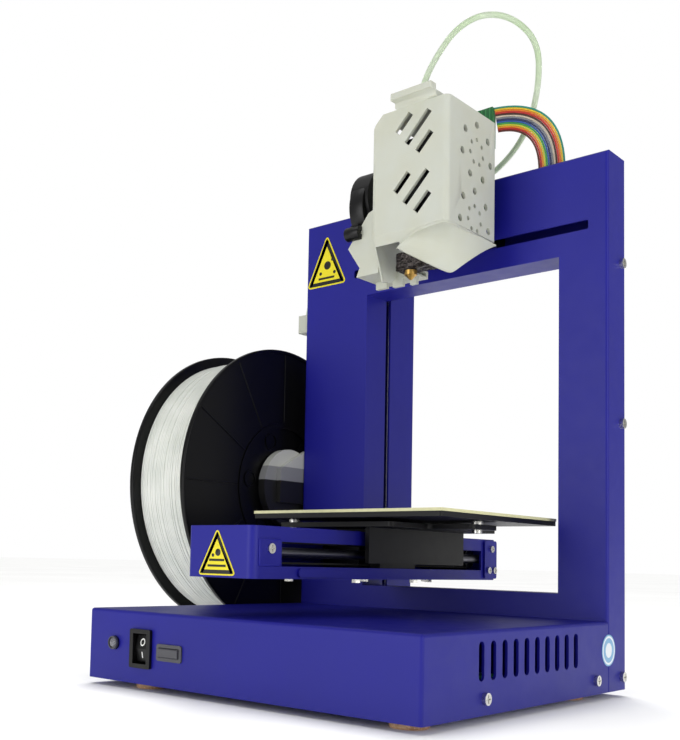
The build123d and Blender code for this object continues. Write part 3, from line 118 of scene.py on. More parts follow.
def new_material(name, **shader):
    """A material with its Principled shader's own sockets set, its tree, and the object coordinates."""
    material = bpy.data.materials.new(name)
    material.use_nodes = True
    tree = material.node_tree
    surface = tree.nodes["Principled BSDF"]
    for key, value in shader.items():
        surface.inputs[key.replace("_", " ")].default_value = value
    place = add_node(tree, "ShaderNodeTexCoord").outputs["Object"]
    return material, tree, surface, place


def shade(colour, factor):
    """A colour darkened by a factor."""
    return tuple(c * factor for c in colour[:3]) + (1.0,)


def ramp(tree, fac, stops, interpolation="LINEAR"):
    """A colour ramp fed by a socket; each stop is a position and a colour."""
    node = add_node(tree, "ShaderNodeValToRGB", links={"Fac": fac})
    node.color_ramp.interpolation = interpolation
    points = node.color_ramp.elements
    for i, (position, colour) in enumerate(stops):
        point = points[i] if i < 2 else points.new(position)
        point.position, point.color = position, colour
    return node.outputs["Color"]


def mottle(tree, surface, place, low, high, size, detail=4.0):
    """Cloudy change of colour between two colours, about one patch to each size."""
    noise = add_node(tree, "ShaderNodeTexNoise", {"Scale": 1 / size, "Detail": detail},
                     {"Vector": place})
    colour = ramp(tree, noise.outputs["Fac"], ((0.3, low), (0.7, high)))
    tree.links.new(colour, surface.inputs["Base Color"])


def vary_roughness(tree, surface, place, low, high, size):
    """Roughness that wanders between two values, about one patch to each size."""
    noise = add_node(tree, "ShaderNodeTexNoise", {"Scale": 1 / size, "Detail": 3.0}, {"Vector": place})
    ranged = add_node(tree, "ShaderNodeMapRange", {"To Min": low, "To Max": high},
                      {"Value": noise.outputs["Fac"]})
    tree.links.new(ranged.outputs["Result"], surface.inputs["Roughness"])


def bump(tree, surface, height, strength, distance, before=None):
    """Bump from a height socket, on top of an earlier bump if one is given."""
    links = {"Height": height}
    if before:
        links["Normal"] = before.outputs["Normal"]
    node = add_node(tree, "ShaderNodeBump", {"Strength": strength, "Distance": distance}, links)
    tree.links.new(node.outputs["Normal"], surface.inputs["Normal"])
    return node


def grain(tree, surface, place, size, strength, distance, before=None):
    """Fine bumps, one to each size, as a sprayed or moulded surface has."""
    noise = add_node(tree, "ShaderNodeTexNoise", {"Scale": 1 / size, "Detail": 2.0, "Roughness": 0.6},
                     {"Vector": place})
    bump(tree, surface, noise.outputs["Fac"], strength, distance, before)


def clouded(name, low, high, patch, grains, detail=4.0, **shader):
    """A material of cloudy colour, with a grain given by its size, strength and depth."""
    material, tree, surface, place = new_material(name, **shader)
    mottle(tree, surface, place, low, high, patch, detail)
    grain(tree, surface, place, *grains)
    return material


def stretched(tree, place, scale):
    """Object coordinates stretched by three scales."""
    return add_node(tree, "ShaderNodeMapping", {"Scale": scale}, {"Vector": place}).outputs["Vector"]


def deselect():
    """Leave nothing selected, in object mode."""
    if bpy.context.object and bpy.context.object.mode != "OBJECT":
        bpy.ops.object.mode_set(mode="OBJECT")
    bpy.ops.object.select_all(action="DESELECT")


def make_active(obj):
    """Select one object alone and make it the active one."""
    deselect()
    obj.select_set(True)
    bpy.context.view_layer.objects.active = obj
    return obj


def apply_transform():
    """Put the active object's place, turn and scale into its mesh."""
    bpy.ops.object.transform_apply(location=True, rotation=True, scale=True)


def settle(obj, name, material, body, smooth=None, replaced=()):
    """Finish a piece: put its place into its mesh, name it, give it its material and its body."""
    make_active(obj)
    if obj.type != "MESH":
        bpy.ops.object.convert(target="MESH")
        obj = bpy.context.object
    for modifier in list(obj.modifiers):
        bpy.ops.object.modifier_apply(modifier=modifier.name)
    apply_transform()
    obj.name = obj.data.name = name
    if material is not None:
        obj.data.materials.clear()
        obj.data.materials.append(material)
    if smooth is not None:
        bpy.ops.object.shade_smooth_by_angle(angle=math.radians(smooth))
    if body:
        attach(obj, body)
    if replaced:
        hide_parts(*replaced)
    return obj


def edit(obj, pick=lambda centre, normal: True, mode="FACE"):
    """Enter edit mode with only the elements that pick is true for selected, or with all of them."""
    make_active(obj)
    bpy.ops.object.mode_set(mode="EDIT")
    bpy.ops.mesh.select_mode(type=mode)
    bpy.ops.mesh.select_all(action="DESELECT")
    work = bmesh.from_edit_mesh(obj.data)
    items = {"FACE": work.faces, "EDGE": work.edges, "VERT": work.verts}[mode]
    for item in items:
        if mode == "FACE":
            item.select = pick(item.calc_center_median(), item.normal)
        elif mode == "VERT":
            item.select = pick(item.co, item.normal)
        else:
            item.select = pick((item.verts[0].co + item.verts[1].co) / 2, None)
    work.select_flush_mode()
    bmesh.update_edit_mesh(obj.data)


def leave_edit():
    """Back to object mode."""
    bpy.ops.object.mode_set(mode="OBJECT")


def inset(*steps, **options):
    """Inset the selected faces once for each step, a thickness and a depth."""
    for thickness, depth in steps:
        bpy.ops.mesh.inset(thickness=thickness, depth=depth, **options)


def inset_where(obj, pick, *steps, remove=False, **options):
    """Inset an object's picked faces step by step, and take the innermost away if asked to."""
    edit(obj, pick)
    inset(*steps, **options)
    if remove:
        bpy.ops.mesh.delete(type="FACE")
    leave_edit()


def bridge(obj, pick):
    """Join an object's two picked loops of edges with faces."""
    edit(obj, pick, "EDGE")
    bpy.ops.mesh.bridge_edge_loops()
    leave_edit()


def thicken(offset):
    """Draw the selected faces out into a closed shape with outward normals, and leave edit mode."""
    bpy.ops.mesh.extrude_region_move(TRANSFORM_OT_translate={"value": offset})
    bpy.ops.mesh.select_all(action="SELECT")
    bpy.ops.mesh.normals_make_consistent(inside=False)
    leave_edit()


def paint(obj, index):
    """Give the selected faces the object's material of this number."""
    obj.active_material_index = index
    bpy.ops.object.material_slot_assign()


def row_of(obj, count, step, merge=0.0):
    """Repeat the active object along a step, its copies merged where they meet if merge is given."""
    rows = obj.modifiers.new("rows", "ARRAY")
    rows.count = count
    rows.use_relative_offset = False
    rows.use_constant_offset = True
    rows.constant_offset_displace = step
    if merge:
        rows.use_merge_vertices = True
        rows.merge_threshold = merge
    bpy.ops.object.modifier_apply(modifier=rows.name)


def block(low, high, edge=0.0, segments=2):
    """A block between two corners, with its edges rounded off."""
    deselect()
    low, high = Vector(low), Vector(high)
    bpy.ops.mesh.primitive_cube_add(size=1, location=(low + high) / 2, scale=high - low)
    obj = bpy.context.object
    apply_transform()
    if edge:
        bpy.ops.object.mode_set(mode="EDIT")
        bpy.ops.mesh.select_all(action="SELECT")
        bpy.ops.mesh.bevel(offset=edge, segments=segments)
        leave_edit()
    return obj


def flat_face(corners):
    """One flat face on these corners."""
    deselect()
    bpy.ops.mesh.primitive_circle_add(vertices=len(corners), radius=1, fill_type="NGON")
    obj = bpy.context.object
    for vert, corner in zip(obj.data.vertices, corners):
        vert.co = corner
    return obj


def disc(centre, radius, depth, axis, vertices=32, edge=0.0):
    """A short round bar centred on a point, its rims rounded off."""
    deselect()
    turn = {"X": (0, math.pi / 2, 0), "Y": (math.pi / 2, 0, 0), "Z": (0, 0, 0)}[axis]
    bpy.ops.mesh.primitive_cylinder_add(vertices=vertices, radius=radius, depth=depth, location=centre,
                                        rotation=turn)
    obj = bpy.context.object
    apply_transform()
    if edge:
        rim = obj.modifiers.new("rim", "BEVEL")
        rim.width, rim.segments, rim.angle_limit = edge, 2, math.radians(60)
        bpy.ops.object.modifier_apply(modifier=rim.name)
    return obj


def join(objects):
    """Join several objects into the first."""
    deselect()
    for obj in objects:
        obj.select_set(True)
    bpy.context.view_layer.objects.active = objects[0]
    bpy.ops.object.join()
    return bpy.context.object


def cut(obj, cutter):
    """Take one closed shape away from another."""
    modifier = make_active(obj).modifiers.new("cut", "BOOLEAN")
    modifier.operation, modifier.object, modifier.solver = "DIFFERENCE", cutter, "EXACT"
    bpy.ops.object.modifier_apply(modifier=modifier.name)
    bpy.data.objects.remove(cutter)


def copy_of(name):
    """A merged copy of a frame node's mesh, to be worked on."""
    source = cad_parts[name]
    obj = bpy.data.objects.new(name + "_work", source.data.copy())
    bpy.context.scene.collection.objects.link(obj)
    make_active(obj)
    bpy.ops.object.mode_set(mode="EDIT")
    bpy.ops.mesh.select_all(action="SELECT")
    bpy.ops.mesh.remove_doubles(threshold=1e-6)
    leave_edit()
    return obj


def lay_on(obj, node, point, towards):
    """Lay a flat piece on a frame node, where a line from a point meets it."""
    hit, place, normal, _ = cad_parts[node].ray_cast(point, towards)
    if not hit:
        raise RuntimeError("nothing to lie on at " + node)
    obj.rotation_euler = normal.to_track_quat("Z", "Y").to_euler()
    obj.location = place + normal * 0.05 * MM


def nurbs(points, name, radius):
    """A round tube on a smooth NURBS curve of order 3 with these control points."""
    data = bpy.data.curves.new(name, "CURVE")
    data.dimensions = "3D"
    data.resolution_u = 10
    data.bevel_depth = radius
    data.bevel_resolution = 4
    data.use_fill_caps = True
    spline = data.splines.new("NURBS")
    spline.points.add(len(points) - 1)
    for point, co in zip(spline.points, points):
        point.co = (*co, 1.0)
    spline.use_endpoint_u = True
    spline.order_u = 3
    obj = bpy.data.objects.new(name, data)
    bpy.context.scene.collection.objects.link(obj)
    return obj


def line_of(curve):
    """The points of a curve's own line, without its bevel."""
    depth = curve.data.bevel_depth
    curve.data.bevel_depth = 0.0
    mesh = bpy.data.meshes.new_from_object(curve)
    points = [v.co.copy() for v in mesh.vertices]
    bpy.data.meshes.remove(mesh)
    curve.data.bevel_depth = depth
    return points


def cord_piece(points, name, diameter, material, replaced=()):
    """A cord from the head to the frame: a round tube along its spline."""
    curve = nurbs(points, name, diameter / 2)
    line = line_of(curve)
    piece = settle(curve, name, material, None, 60, replaced)
    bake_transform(piece)


# ---------------------------------------------------------------- materials
def powder_coat(name, low, high):
    """Polyester powder coat on steel: a satin skin with a fine, even grain and soft highlights."""
    material, tree, surface, place = new_material(name, IOR=1.5, Roughness=0.42, Specular_IOR_Level=0.32)
    mottle(tree, surface, place, low, high, 60 * MM)
    vary_roughness(tree, surface, place, 0.36, 0.5, 9 * MM)
    # the real grain is about 0.3 mm across; it is drawn at 0.7 mm so that it shows
    grain(tree, surface, place, 0.7 * MM, 0.22, 0.06 * MM)
    return material


def metal(name, colour, rough, stretch=None):
    """Bare metal: its own colour, with turning or grinding lines where it has been machined."""
    material, tree, surface, place = new_material(name, Base_Color=colour, Metallic=1.0, Roughness=rough)
    vary_roughness(tree, surface, place, rough * 0.75, rough * 1.35, 4 * MM)
    lines = stretched(tree, place, stretch) if stretch else place
    grain(tree, surface, lines, 0.4 * MM, 0.12, 0.02 * MM)
    return material


def moulded(name, colour, rough, size=0.5 * MM, strength=0.18, shine=0.5):
    """Injection-moulded plastic: an even colour with a light spark-eroded grain from its tool."""
    material, tree, surface, place = new_material(name, Base_Color=colour, IOR=1.52, Roughness=rough,
                                                  Specular_IOR_Level=shine)
    vary_roughness(tree, surface, place, rough * 0.85, rough * 1.2, 8 * MM)
    grain(tree, surface, place, size, strength, 0.05 * MM)
    return material


def printed_abs(name, colour):
    """Off-white ABS laid down in 0.2 mm layers: matt, a little light goes in, faint level lines."""
    material, tree, surface, place = new_material(name, IOR=1.54, Roughness=0.5, Subsurface_Weight=0.25,
                                                  Subsurface_Radius=(1.0, 0.9, 0.7),
                                                  Subsurface_Scale=1.2 * MM)
    warm = tuple(c * f for c, f in zip(colour[:3], (0.97, 0.955, 0.9))) + (1.0,)
    mottle(tree, surface, place, warm, colour, 22 * MM)
    # layers of 0.2 mm are drawn 1.2 mm high, so that they show as lines and not as noise
    layers = add_node(tree, "ShaderNodeTexWave", {"Scale": WAVE / (1.1843 * MM), "Distortion": 0.4,
                                                  "Detail": 1.0}, {"Vector": place},
                      wave_type="BANDS", bands_direction="Z", wave_profile="SIN")
    first = bump(tree, surface, layers.outputs["Fac"], 0.35, 0.05 * MM)
    grain(tree, surface, place, 0.8 * MM, 0.15, 0.05 * MM, first)
    return material


def make_materials():
    """Every finish of the printer, by the name of what the surface is."""
    finish = bpy.context.scene.printer_finish
    coat = tuple(finish.coat)
    made = {
        "coat": powder_coat("blue_powder_coat", shade(coat, 0.9), coat),
        "black_coat": powder_coat("black_powder_coat", srgb("050506"), srgb("0A0A0B")),
        "abs": printed_abs("printed_white_abs", tuple(finish.shell)),
        "steel": metal("ground_steel", srgb("C9C9CC"), 0.22, (1, 0.03, 1)),
        # the rods in the base's slot: rougher steel, its colour darkened to stand for the slot's shade,
        # painted shade
        "dull_steel_with_painted_shade": metal("steel_with_painted_shade", srgb("6A6A70"), 0.35, (1, 0.03, 1)),
        "zinc": metal("zinc_plated_steel", srgb("D5D4CE"), 0.25),
        "alloy": metal("machined_aluminium", srgb("C4C6CA"), 0.35, (0.1, 1, 1)),
        "brass": metal("turned_brass", srgb("C9A25A"), 0.28, (1, 1, 0.1)),
        "black": moulded("black_moulded_abs", srgb("070708"), 0.34, shine=0.3),
        "spool_black": moulded("black_moulded_polystyrene", srgb("060607"), 0.3, 1.2 * MM, 0.1, 0.22),
        "grey": moulded("grey_moulded_abs", srgb("45454B"), 0.32),
        "mark": moulded("white_printed_mark", srgb("F2F2EE"), 0.5),
    }

    # Stepper motor: black lacquer over laminations of 0.5 mm, drawn 2 mm thick so that they show
    material, tree, surface, place = new_material("lacquered_laminations", IOR=1.5, Roughness=0.35)
    mottle(tree, surface, place, srgb("0E0E10"), srgb("1A1A1C"), 6 * MM)
    stack = add_node(tree, "ShaderNodeTexWave", {"Scale": WAVE / (1.9739 * MM)}, {"Vector": place},
                     bands_direction="Y")
    bump(tree, surface, stack.outputs["Fac"], 0.3, 0.08 * MM)
    made["motor"] = material

    # Neoprene belt: dull black rubber with cords that barely show
    made["rubber"] = clouded("neoprene_belt", srgb("0D0D0D"), srgb("191919"), 3 * MM,
                             (0.4 * MM, 0.4, 0.06 * MM), IOR=1.52, Roughness=0.75)

    # Cork-filled rubber feet: tan granules a millimetre or two across, with darker seams
    material, tree, surface, place = new_material("cork_rubber", IOR=1.45, Roughness=0.85)
    cells = add_node(tree, "ShaderNodeTexVoronoi", {"Scale": 1 / (1.4 * MM)}, {"Vector": place})
    cork = ramp(tree, cells.outputs["Color"], ((0, srgb("B98A5C")), (1, srgb("E8C39C"))))
    tree.links.new(cork, surface.inputs["Base Color"])
    bump(tree, surface, cells.outputs["Distance"], 0.5, 0.2 * MM)
    made["cork"] = material

    # Epoxy glass circuit board under green solder mask: glossy, with copper tracks just raised
    material, tree, surface, place = new_material("green_solder_mask", IOR=1.5, Roughness=0.3)
    tracks = add_node(tree, "ShaderNodeTexBrick", {"Scale": 1 / (6 * MM), "Mortar Size": 0.06,
                                                   "Color1": srgb("1E6B3A"), "Color2": srgb("1A5F33"),
                                                   "Mortar": srgb("3B8F52")}, {"Vector": place})
    tree.links.new(tracks.outputs["Color"], surface.inputs["Base Color"])
    bump(tree, surface, tracks.outputs["Fac"], 0.3, 0.04 * MM)
    made["circuit"] = material

    # Foil-faced glass cloth wrapped round the heater: crumpled, glittery dark facets
    material, tree, surface, place = new_material("crumpled_foil_wrap", Metallic=0.7, Roughness=0.3)
    mottle(tree, surface, place, srgb("1B181B"), srgb("5A5350"), 1.6 * MM)
    facets = add_node(tree, "ShaderNodeTexVoronoi", {"Scale": 1 / (1.1 * MM)}, {"Vector": place},
                      feature="F1")
    bump(tree, surface, facets.outputs["Distance"], 0.9, 0.5 * MM)
    made["foil"] = material

    # Perforated epoxy-paper laminate: pale cream yellow with a soft fibre mottle
    board = tuple(finish.board)
    material, tree, surface, place = new_material("epoxy_paper_laminate", IOR=1.5, Roughness=0.5)
    mottle(tree, surface, place, shade(board, 0.88), board, 5 * MM)
    grain(tree, surface, stretched(tree, place, (0.3, 1, 1)), 0.5 * MM, 0.2, 0.04 * MM)
    made["laminate"] = material

    # Wound ABS filament: off-white, satin, each strand catching a thin highlight
    made["filament"] = clouded("extruded_filament", srgb("DEE2DA"), srgb("EFF1EA"), 25 * MM,
                               (1.2 * MM, 0.05, 0.03 * MM), 2.0, IOR=1.54, Roughness=0.38,
                               Subsurface_Weight=0.2, Subsurface_Radius=(1.0, 0.95, 0.85),
                               Subsurface_Scale=1.0 * MM)

    # Extruded PTFE tube: milky and part see-through, with the light filament tinting its middle
    made["tube"] = clouded("milky_ptfe_tube", srgb("D9EFC6"), srgb("EEF7E6"), 30 * MM,
                           (1.5 * MM, 0.08, 0.05 * MM), IOR=1.35, Roughness=0.3, Transmission_Weight=0.45)

    # Clear polycarbonate lens over the indicator
    made["lens"] = clouded("clear_lens", srgb("A8A8B4"), srgb("D4D4DE"), 2 * MM,
                           (1.5 * MM, 0.15, 0.1 * MM), IOR=1.58, Roughness=0.12, Transmission_Weight=0.7)

    # Spool holder: printed ABS above and black ABS in its lower half, both its own colours; the black on
    # the spindle's shaded side and the grey band between them are painted shade, set by height
    material, tree, surface, place = new_material("two_tone_abs_and_painted_shade", IOR=1.54, Roughness=0.5)
    height = add_node(tree, "ShaderNodeSeparateXYZ", links={"Vector": place}).outputs["Z"]
    level = add_node(tree, "ShaderNodeMapRange", {"From Min": 130 * MM, "From Max": 160 * MM},
                     {"Value": height}).outputs["Result"]
    # black below, grey band, pale above: two real tones, with the spindle's underside and middle darkened
    # as painted shade
    tones_and_painted_shade = ramp(tree, level, ((0, srgb("0C0C0C")), (0.36, srgb("8F9091")), (0.72, srgb("C9CAC2"))),
                 "CONSTANT")
    tree.links.new(tones_and_painted_shade, surface.inputs["Base Color"])
    grain(tree, surface, place, 0.6 * MM, 0.25, 0.06 * MM)
    made["holder"] = material

    # Vinyl stickers: smooth, slightly glossy film
    for key, colour in (("yellow", "F0E01E"), ("ink", "0E0E0C"), ("pale_blue", "7FB4DA"),
                        ("paper", "EDF2F6")):
        made["vinyl_" + key] = moulded("vinyl_" + key, srgb(colour), 0.32, 2.0 * MM, 0.04)
    return made


WIRE_COLOURS = (("teal", "1F8C7A"), ("yellow", "E3C32B"), ("orange", "E07A22"), ("red", "C8322A"),
                ("brown", "4A2A1E"), ("beige", "CFC2AC"), ("grey", "7E8088"), ("navy", "26305E"),
                ("blue", "2F5FA8"), ("green", "3C9A4C"), ("lime", "C9CC35"), ("amber", "E58A1F"),
                ("crimson", "B8261F"), ("maroon", "5C2418"))


def wire_material(name, code):
    """PVC insulation of a ribbon wire: bright, even and slightly glossy."""
    colour = srgb(code)
    return clouded("pvc_wire_" + name, shade(colour, 0.85), colour, 6 * MM, (0.6 * MM, 0.1, 0.03 * MM),
                   IOR=1.53, Roughness=0.38)


CAD_FINISH = {
    "coat": ("base_cover", "base_bottom_plate", "portal_frame", "portal_rear_cover", "column_cover",
             "arm_channel", "arm_brackets"),
    "black_coat": ("bed_carrier", "bed_plate", "y_carriage"),
    "abs": ("air_duct", "head_cap", "head_cover", "tube_guide"),
    "holder": ("spool_holder",),
    "steel": ("head_bracket", "heat_break", "idler_bearing", "leadscrew", "usb_socket", "x_rods",
              "z_rods"),
    # the rods in the slot take the steel darkened as painted shade
    "dull_steel_with_painted_shade": ("y_rods",),
    "zinc": ("arm_screws", "bed_screws", "case_screws"),
    "alloy": ("column_brackets", "x_end_blocks", "x_idler", "x_pulley", "y_idler", "y_pulley",
              "z_carriage"),
    "brass": ("drive_gear", "nozzle"),
    "black": ("blower_housing", "blower_rotor", "extruder_body", "power_inlet", "switch_housing",
              "switch_rocker", "x_carriage"),
    "spool_black": ("spool",),
    "grey": ("button_bezel", "start_button"),
    "motor": ("extruder_motor", "x_motor", "y_motor", "z_motor"),
    "rubber": ("x_belt", "y_belt"),
    "cork": ("feet",),
    "circuit": ("mainboard", "head_board"),
    "foil": ("heater_block",),
    "laminate": ("print_board",),
    "filament": ("filament_winding",),
    "lens": ("status_led",),
}
finishes = {}


# ---------------------------------------------------------------- operators
# name, kind, place, aim, side of the lamp (angle of the sun), power
LIGHTS = (
    ("key_softbox", "AREA", (-0.35, -1.5, 0.35), (0.0, 0.0, 0.2), 0.8, 6.5),
    ("fill_softbox", "AREA", (1.6, -0.2, 0.5), (0.0, 0.0, 0.2), 0.8, 6.0),
    ("top_softbox", "AREA", (-0.3, -0.4, 1.6), (0.0, 0.0, 0.2), 0.8, 3.0),
    ("floor_lamp", "SUN", (-0.5, 0.9, 2.2), (0.0, 0.0, 0.0), 0.7, 2.2),
)
ROOM_LIGHT = 0.42
CAMERA_PLACE, CAMERA_TURN = mm(381.84, -505.94, 79.27), (93.966, -1.435, 43.076)  # the turn in degrees


class PRINTER_OT_stage(bpy.types.Operator):
    """Set up the pale floor, the soft studio lights and the camera"""
    bl_idname = "printer.stage"
    bl_label = "Stage, Lights and Camera"

    def execute(self, context):
        scene = context.scene
        scene.view_settings.view_transform = "Standard"
        deselect()
        bpy.ops.mesh.primitive_plane_add(size=40)
        floor = context.object
        floor.name = "floor"
        material, tree, surface, place = new_material("matt_white_paper", IOR=1.45, Roughness=0.9)
        mottle(tree, surface, place, srgb("F3F3F2"), srgb("FAFAF9"), 0.4)
        floor.data.materials.append(material)

        world = bpy.data.worlds.new("studio")
        world.use_nodes = True
        tree = world.node_tree
        room = tree.nodes["Background"]
        room.inputs["Color"].default_value = srgb("FFFFFF")
        room.inputs["Strength"].default_value = ROOM_LIGHT
        # the backdrop itself is lit to plain white, and the room around it is dimmer
        backdrop = add_node(tree, "ShaderNodeBackground", {"Color": srgb("FFFFFF"), "Strength": 1.0})
        seen = add_node(tree, "ShaderNodeLightPath").outputs["Is Camera Ray"]
        both = add_node(tree, "ShaderNodeMixShader",
                        links={0: seen, 1: room.outputs[0], 2: backdrop.outputs[0]})
        tree.links.new(both.outputs[0], tree.nodes["World Output"].inputs["Surface"])
        scene.world = world

        for name, kind, place, aim, size, power in LIGHTS:
            light = bpy.data.lights.new(name, kind)
            light.energy = power
            setattr(light, "angle" if kind == "SUN" else "size", size)
            obj = bpy.data.objects.new(name, light)
            obj.location = place
            obj.rotation_euler = (Vector(aim) - Vector(place)).to_track_quat("-Z", "Y").to_euler()
            scene.collection.objects.link(obj)
            if kind == "SUN":
                # this lamp lights the floor alone, and the printer shades it
                lit = bpy.data.collections.new("lit_floor")
                lit.objects.link(floor)
                obj.light_linking.receiver_collection = lit

        view = bpy.data.cameras.new("camera")
        view.sensor_width = 36.0
        view.lens = 49.0
        view.shift_x, view.shift_y = 0.135, 0.162
        view.clip_start = 0.01
        camera = bpy.data.objects.new("camera", view)
        camera.location = CAMERA_PLACE
        camera.rotation_euler = [math.radians(a) for a in CAMERA_TURN]
        scene.collection.objects.link(camera)
        scene.camera = camera
        return {"FINISHED"}


class PRINTER_OT_finishes(bpy.types.Operator):
    """Give every carried-over frame part its real finish"""
    bl_idname = "printer.finishes"
    bl_label = "Finishes"

    def execute(self, context):
        finishes.update(make_materials())
        for key, nodes in CAD_FINISH.items():
            for name in nodes:
                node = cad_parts[name]
                if not node.data.materials:
                    node.data.materials.append(finishes[key])
                for slot in node.material_slots:
                    slot.material = finishes[key]
        return {"FINISHED"}


TUBE_ROUTE = [mm(*p) for p in (
    (17.5, 46.75, 384.5), (19.5, 48.25, 398), (25, 55, 418), (34, 66, 440), (47, 80, 452), (62, 94, 449),
    (73, 107, 433), (69, 116, 408), (57, 125, 385), (38, 134, 371), (10, 142, 361), (-20, 150, 353),
    (-52, 155, 347), (-84, 154, 341), (-110, 147, 330), (-126, 132, 312), (-128.5, 116.25, 294),
    (-128.5, 113.25, 276))]
RIBBON_START, RIBBON_END, RIBBON_CLIMB = mm(48.5, 94.75, 382), mm(79, 115.25, 345.5), mm(0, 0, 6)


class PRINTER_OT_cords(bpy.types.Operator):
    """Make the filament tube and the ribbon's wires, which run from the head to the frame"""
    bl_idname = "printer.cords"
    bl_label = "Filament Tube and Ribbon"

    def execute(self, context):
        sizes = context.scene.printer_sizes
        cord_piece(TUBE_ROUTE, "filament_tube_smooth", sizes.tube, finishes["tube"],
                   ("filament_tube",))
        flat = RIBBON_END - RIBBON_START
        flat.z = 0
        out = flat.normalized()
        rise = (flat + RIBBON_CLIMB).normalized()
        up = out.cross(Vector((0, 0, 1))).cross(rise).normalized()
        if up.z < 0:
            up = -up
        count = len(WIRE_COLOURS)
        for i, (name, code) in enumerate(WIRE_COLOURS):
            off = ((count - 1) / 2 - i) * sizes.wire
            start, end = RIBBON_START + up * off, RIBBON_END + out * off
            # the shared corner moves along the line that bisects the turn
            across = (end.xy - start.xy).length
            turn = start + rise * (across / rise.xy.length)
            cord_piece([start, turn, end], f"ribbon_wire_{i + 1:02d}", sizes.wire * 0.98,
                       wire_material(name, code),
                       ("ribbon_cable",) if i == 0 else ())
        return {"FINISHED"}


SPOOL_Y, SPOOL_Z = 92.75 * MM, 136 * MM
SPOOL_LOW, SPOOL_HIGH = -191 * MM, -133 * MM
SPOOL_MIDDLE = Vector(((SPOOL_LOW + SPOOL_HIGH) / 2, SPOOL_Y, SPOOL_Z))
FLANGE_RADIUS, DRUM_RADIUS, BORE_RADIUS = 109 * MM, 32 * MM, 26 * MM
FLANGE, WEB_DEPTH = 4 * MM, 0.9 * MM
# the steps of a flange from its rim to its bore: rim bead, web, hub ring, lowered hub, bore's collar
FLANGE_STEPS = ((106.5 * MM, -WEB_DEPTH), (52 * MM, 0.0), (51 * MM, WEB_DEPTH), (47 * MM, -1.4 * MM),
                (29.5 * MM, 1.2 * MM), (BORE_RADIUS, 0.0))
RIB_FOOT, RIB_TIP, BOSS_CENTRE, BOSS_RADIUS = 52 * MM, 106 * MM, 38.5 * MM, 6.5 * MM
WOUND_RADIUS, WOUND_WIDTH = 101.6 * MM, 50 * MM
SLIVER = 0.05 * MM


def radius_of(point):
    """Distance of a point from the spool's axis."""
    return math.hypot(point.y - SPOOL_Y, point.z - SPOOL_Z)


class PRINTER_OT_spool(bpy.types.Operator):
    """Make the flanged spool with its hub rings, ribs and bore"""
    bl_idname = "printer.spool"
    bl_label = "Filament Spool"

    def execute(self, context):
        reel = disc(SPOOL_MIDDLE, FLANGE_RADIUS, SPOOL_HIGH - SPOOL_LOW, "X", 128)
        for inner in (SPOOL_LOW + FLANGE, SPOOL_HIGH - FLANGE):
            edit(reel)
            bpy.ops.mesh.bisect(plane_co=(inner, 0, 0), plane_no=(1, 0, 0))
            leave_edit()
        # the drum between the flanges
        edit(reel, lambda c, n: abs(c.x - SPOOL_MIDDLE.x) < 5 * MM and abs(n.x) < 0.5)
        bpy.ops.mesh.extrude_region_move()
        work = bmesh.from_edit_mesh(reel.data)
        for vert in work.verts:
            if vert.select:
                scale = DRUM_RADIUS / radius_of(vert.co)
                vert.co.y = SPOOL_Y + (vert.co.y - SPOOL_Y) * scale
                vert.co.z = SPOOL_Z + (vert.co.z - SPOOL_Z) * scale
        bmesh.update_edit_mesh(reel.data)
        leave_edit()
        # rim bead, recessed web, hub ring and lowered hub on both ends, then the bore
        for side in (SPOOL_LOW, SPOOL_HIGH):
            edit(reel, lambda c, n: abs(c.x - side) < 1e-6 and abs(n.x) > 0.9)
            last = FLANGE_RADIUS
            for radius, rise in FLANGE_STEPS:
                inset((last - radius - SLIVER, 0), (SLIVER, rise))
                last = radius
            bpy.ops.mesh.delete(type="FACE")
            leave_edit()
        bridge(reel, lambda c, n: abs(radius_of(c) - BORE_RADIUS) < 0.3 * MM)
        edit(reel, lambda c, n: abs(radius_of(c) - FLANGE_RADIUS) < 0.3 * MM, "EDGE")
        work = bmesh.from_edit_mesh(reel.data)
        for edge in work.edges:
            edge.select = edge.select and abs(edge.verts[0].co.x - edge.verts[1].co.x) < 1e-7
        bpy.ops.mesh.bevel(offset=1.0 * MM, segments=3)
        leave_edit()
        # radial ribs on the webs and round bosses in the hub, modelled once and turned into place
        parts = [reel]
        for side, sign in ((SPOOL_LOW, 1), (SPOOL_HIGH, -1)):
            face = side + sign * WEB_DEPTH
            for kind, count, first in (("rib", context.scene.printer_sizes.spool_arms, 0.0),
                                       ("boss", 6, 0.4)):
                for i in range(count):
                    if kind == "rib":
                        piece = block((face - 0.5 * MM, -0.7 * MM, RIB_FOOT),
                                      (face + 0.5 * MM, 0.7 * MM, RIB_TIP), 0.35 * MM, 1)
                    else:
                        piece = disc((face + sign * 0.5 * MM, 0, BOSS_CENTRE), BOSS_RADIUS, 1.6 * MM,
                                     "X", 24)
                        inset_where(piece, lambda c, n: n.x * -sign > 0.9, (1.1 * MM, 0),
                                    (0.1 * MM, -1.2 * MM))
                    piece.rotation_euler.x = first + i * 2 * math.pi / count
                    piece.location = (0, SPOOL_Y, SPOOL_Z)
                    parts.append(piece)
        settle(join(parts), "flanged_spool", finishes["spool_black"], "spool", 30,
               ("spool",))
        return {"FINISHED"}


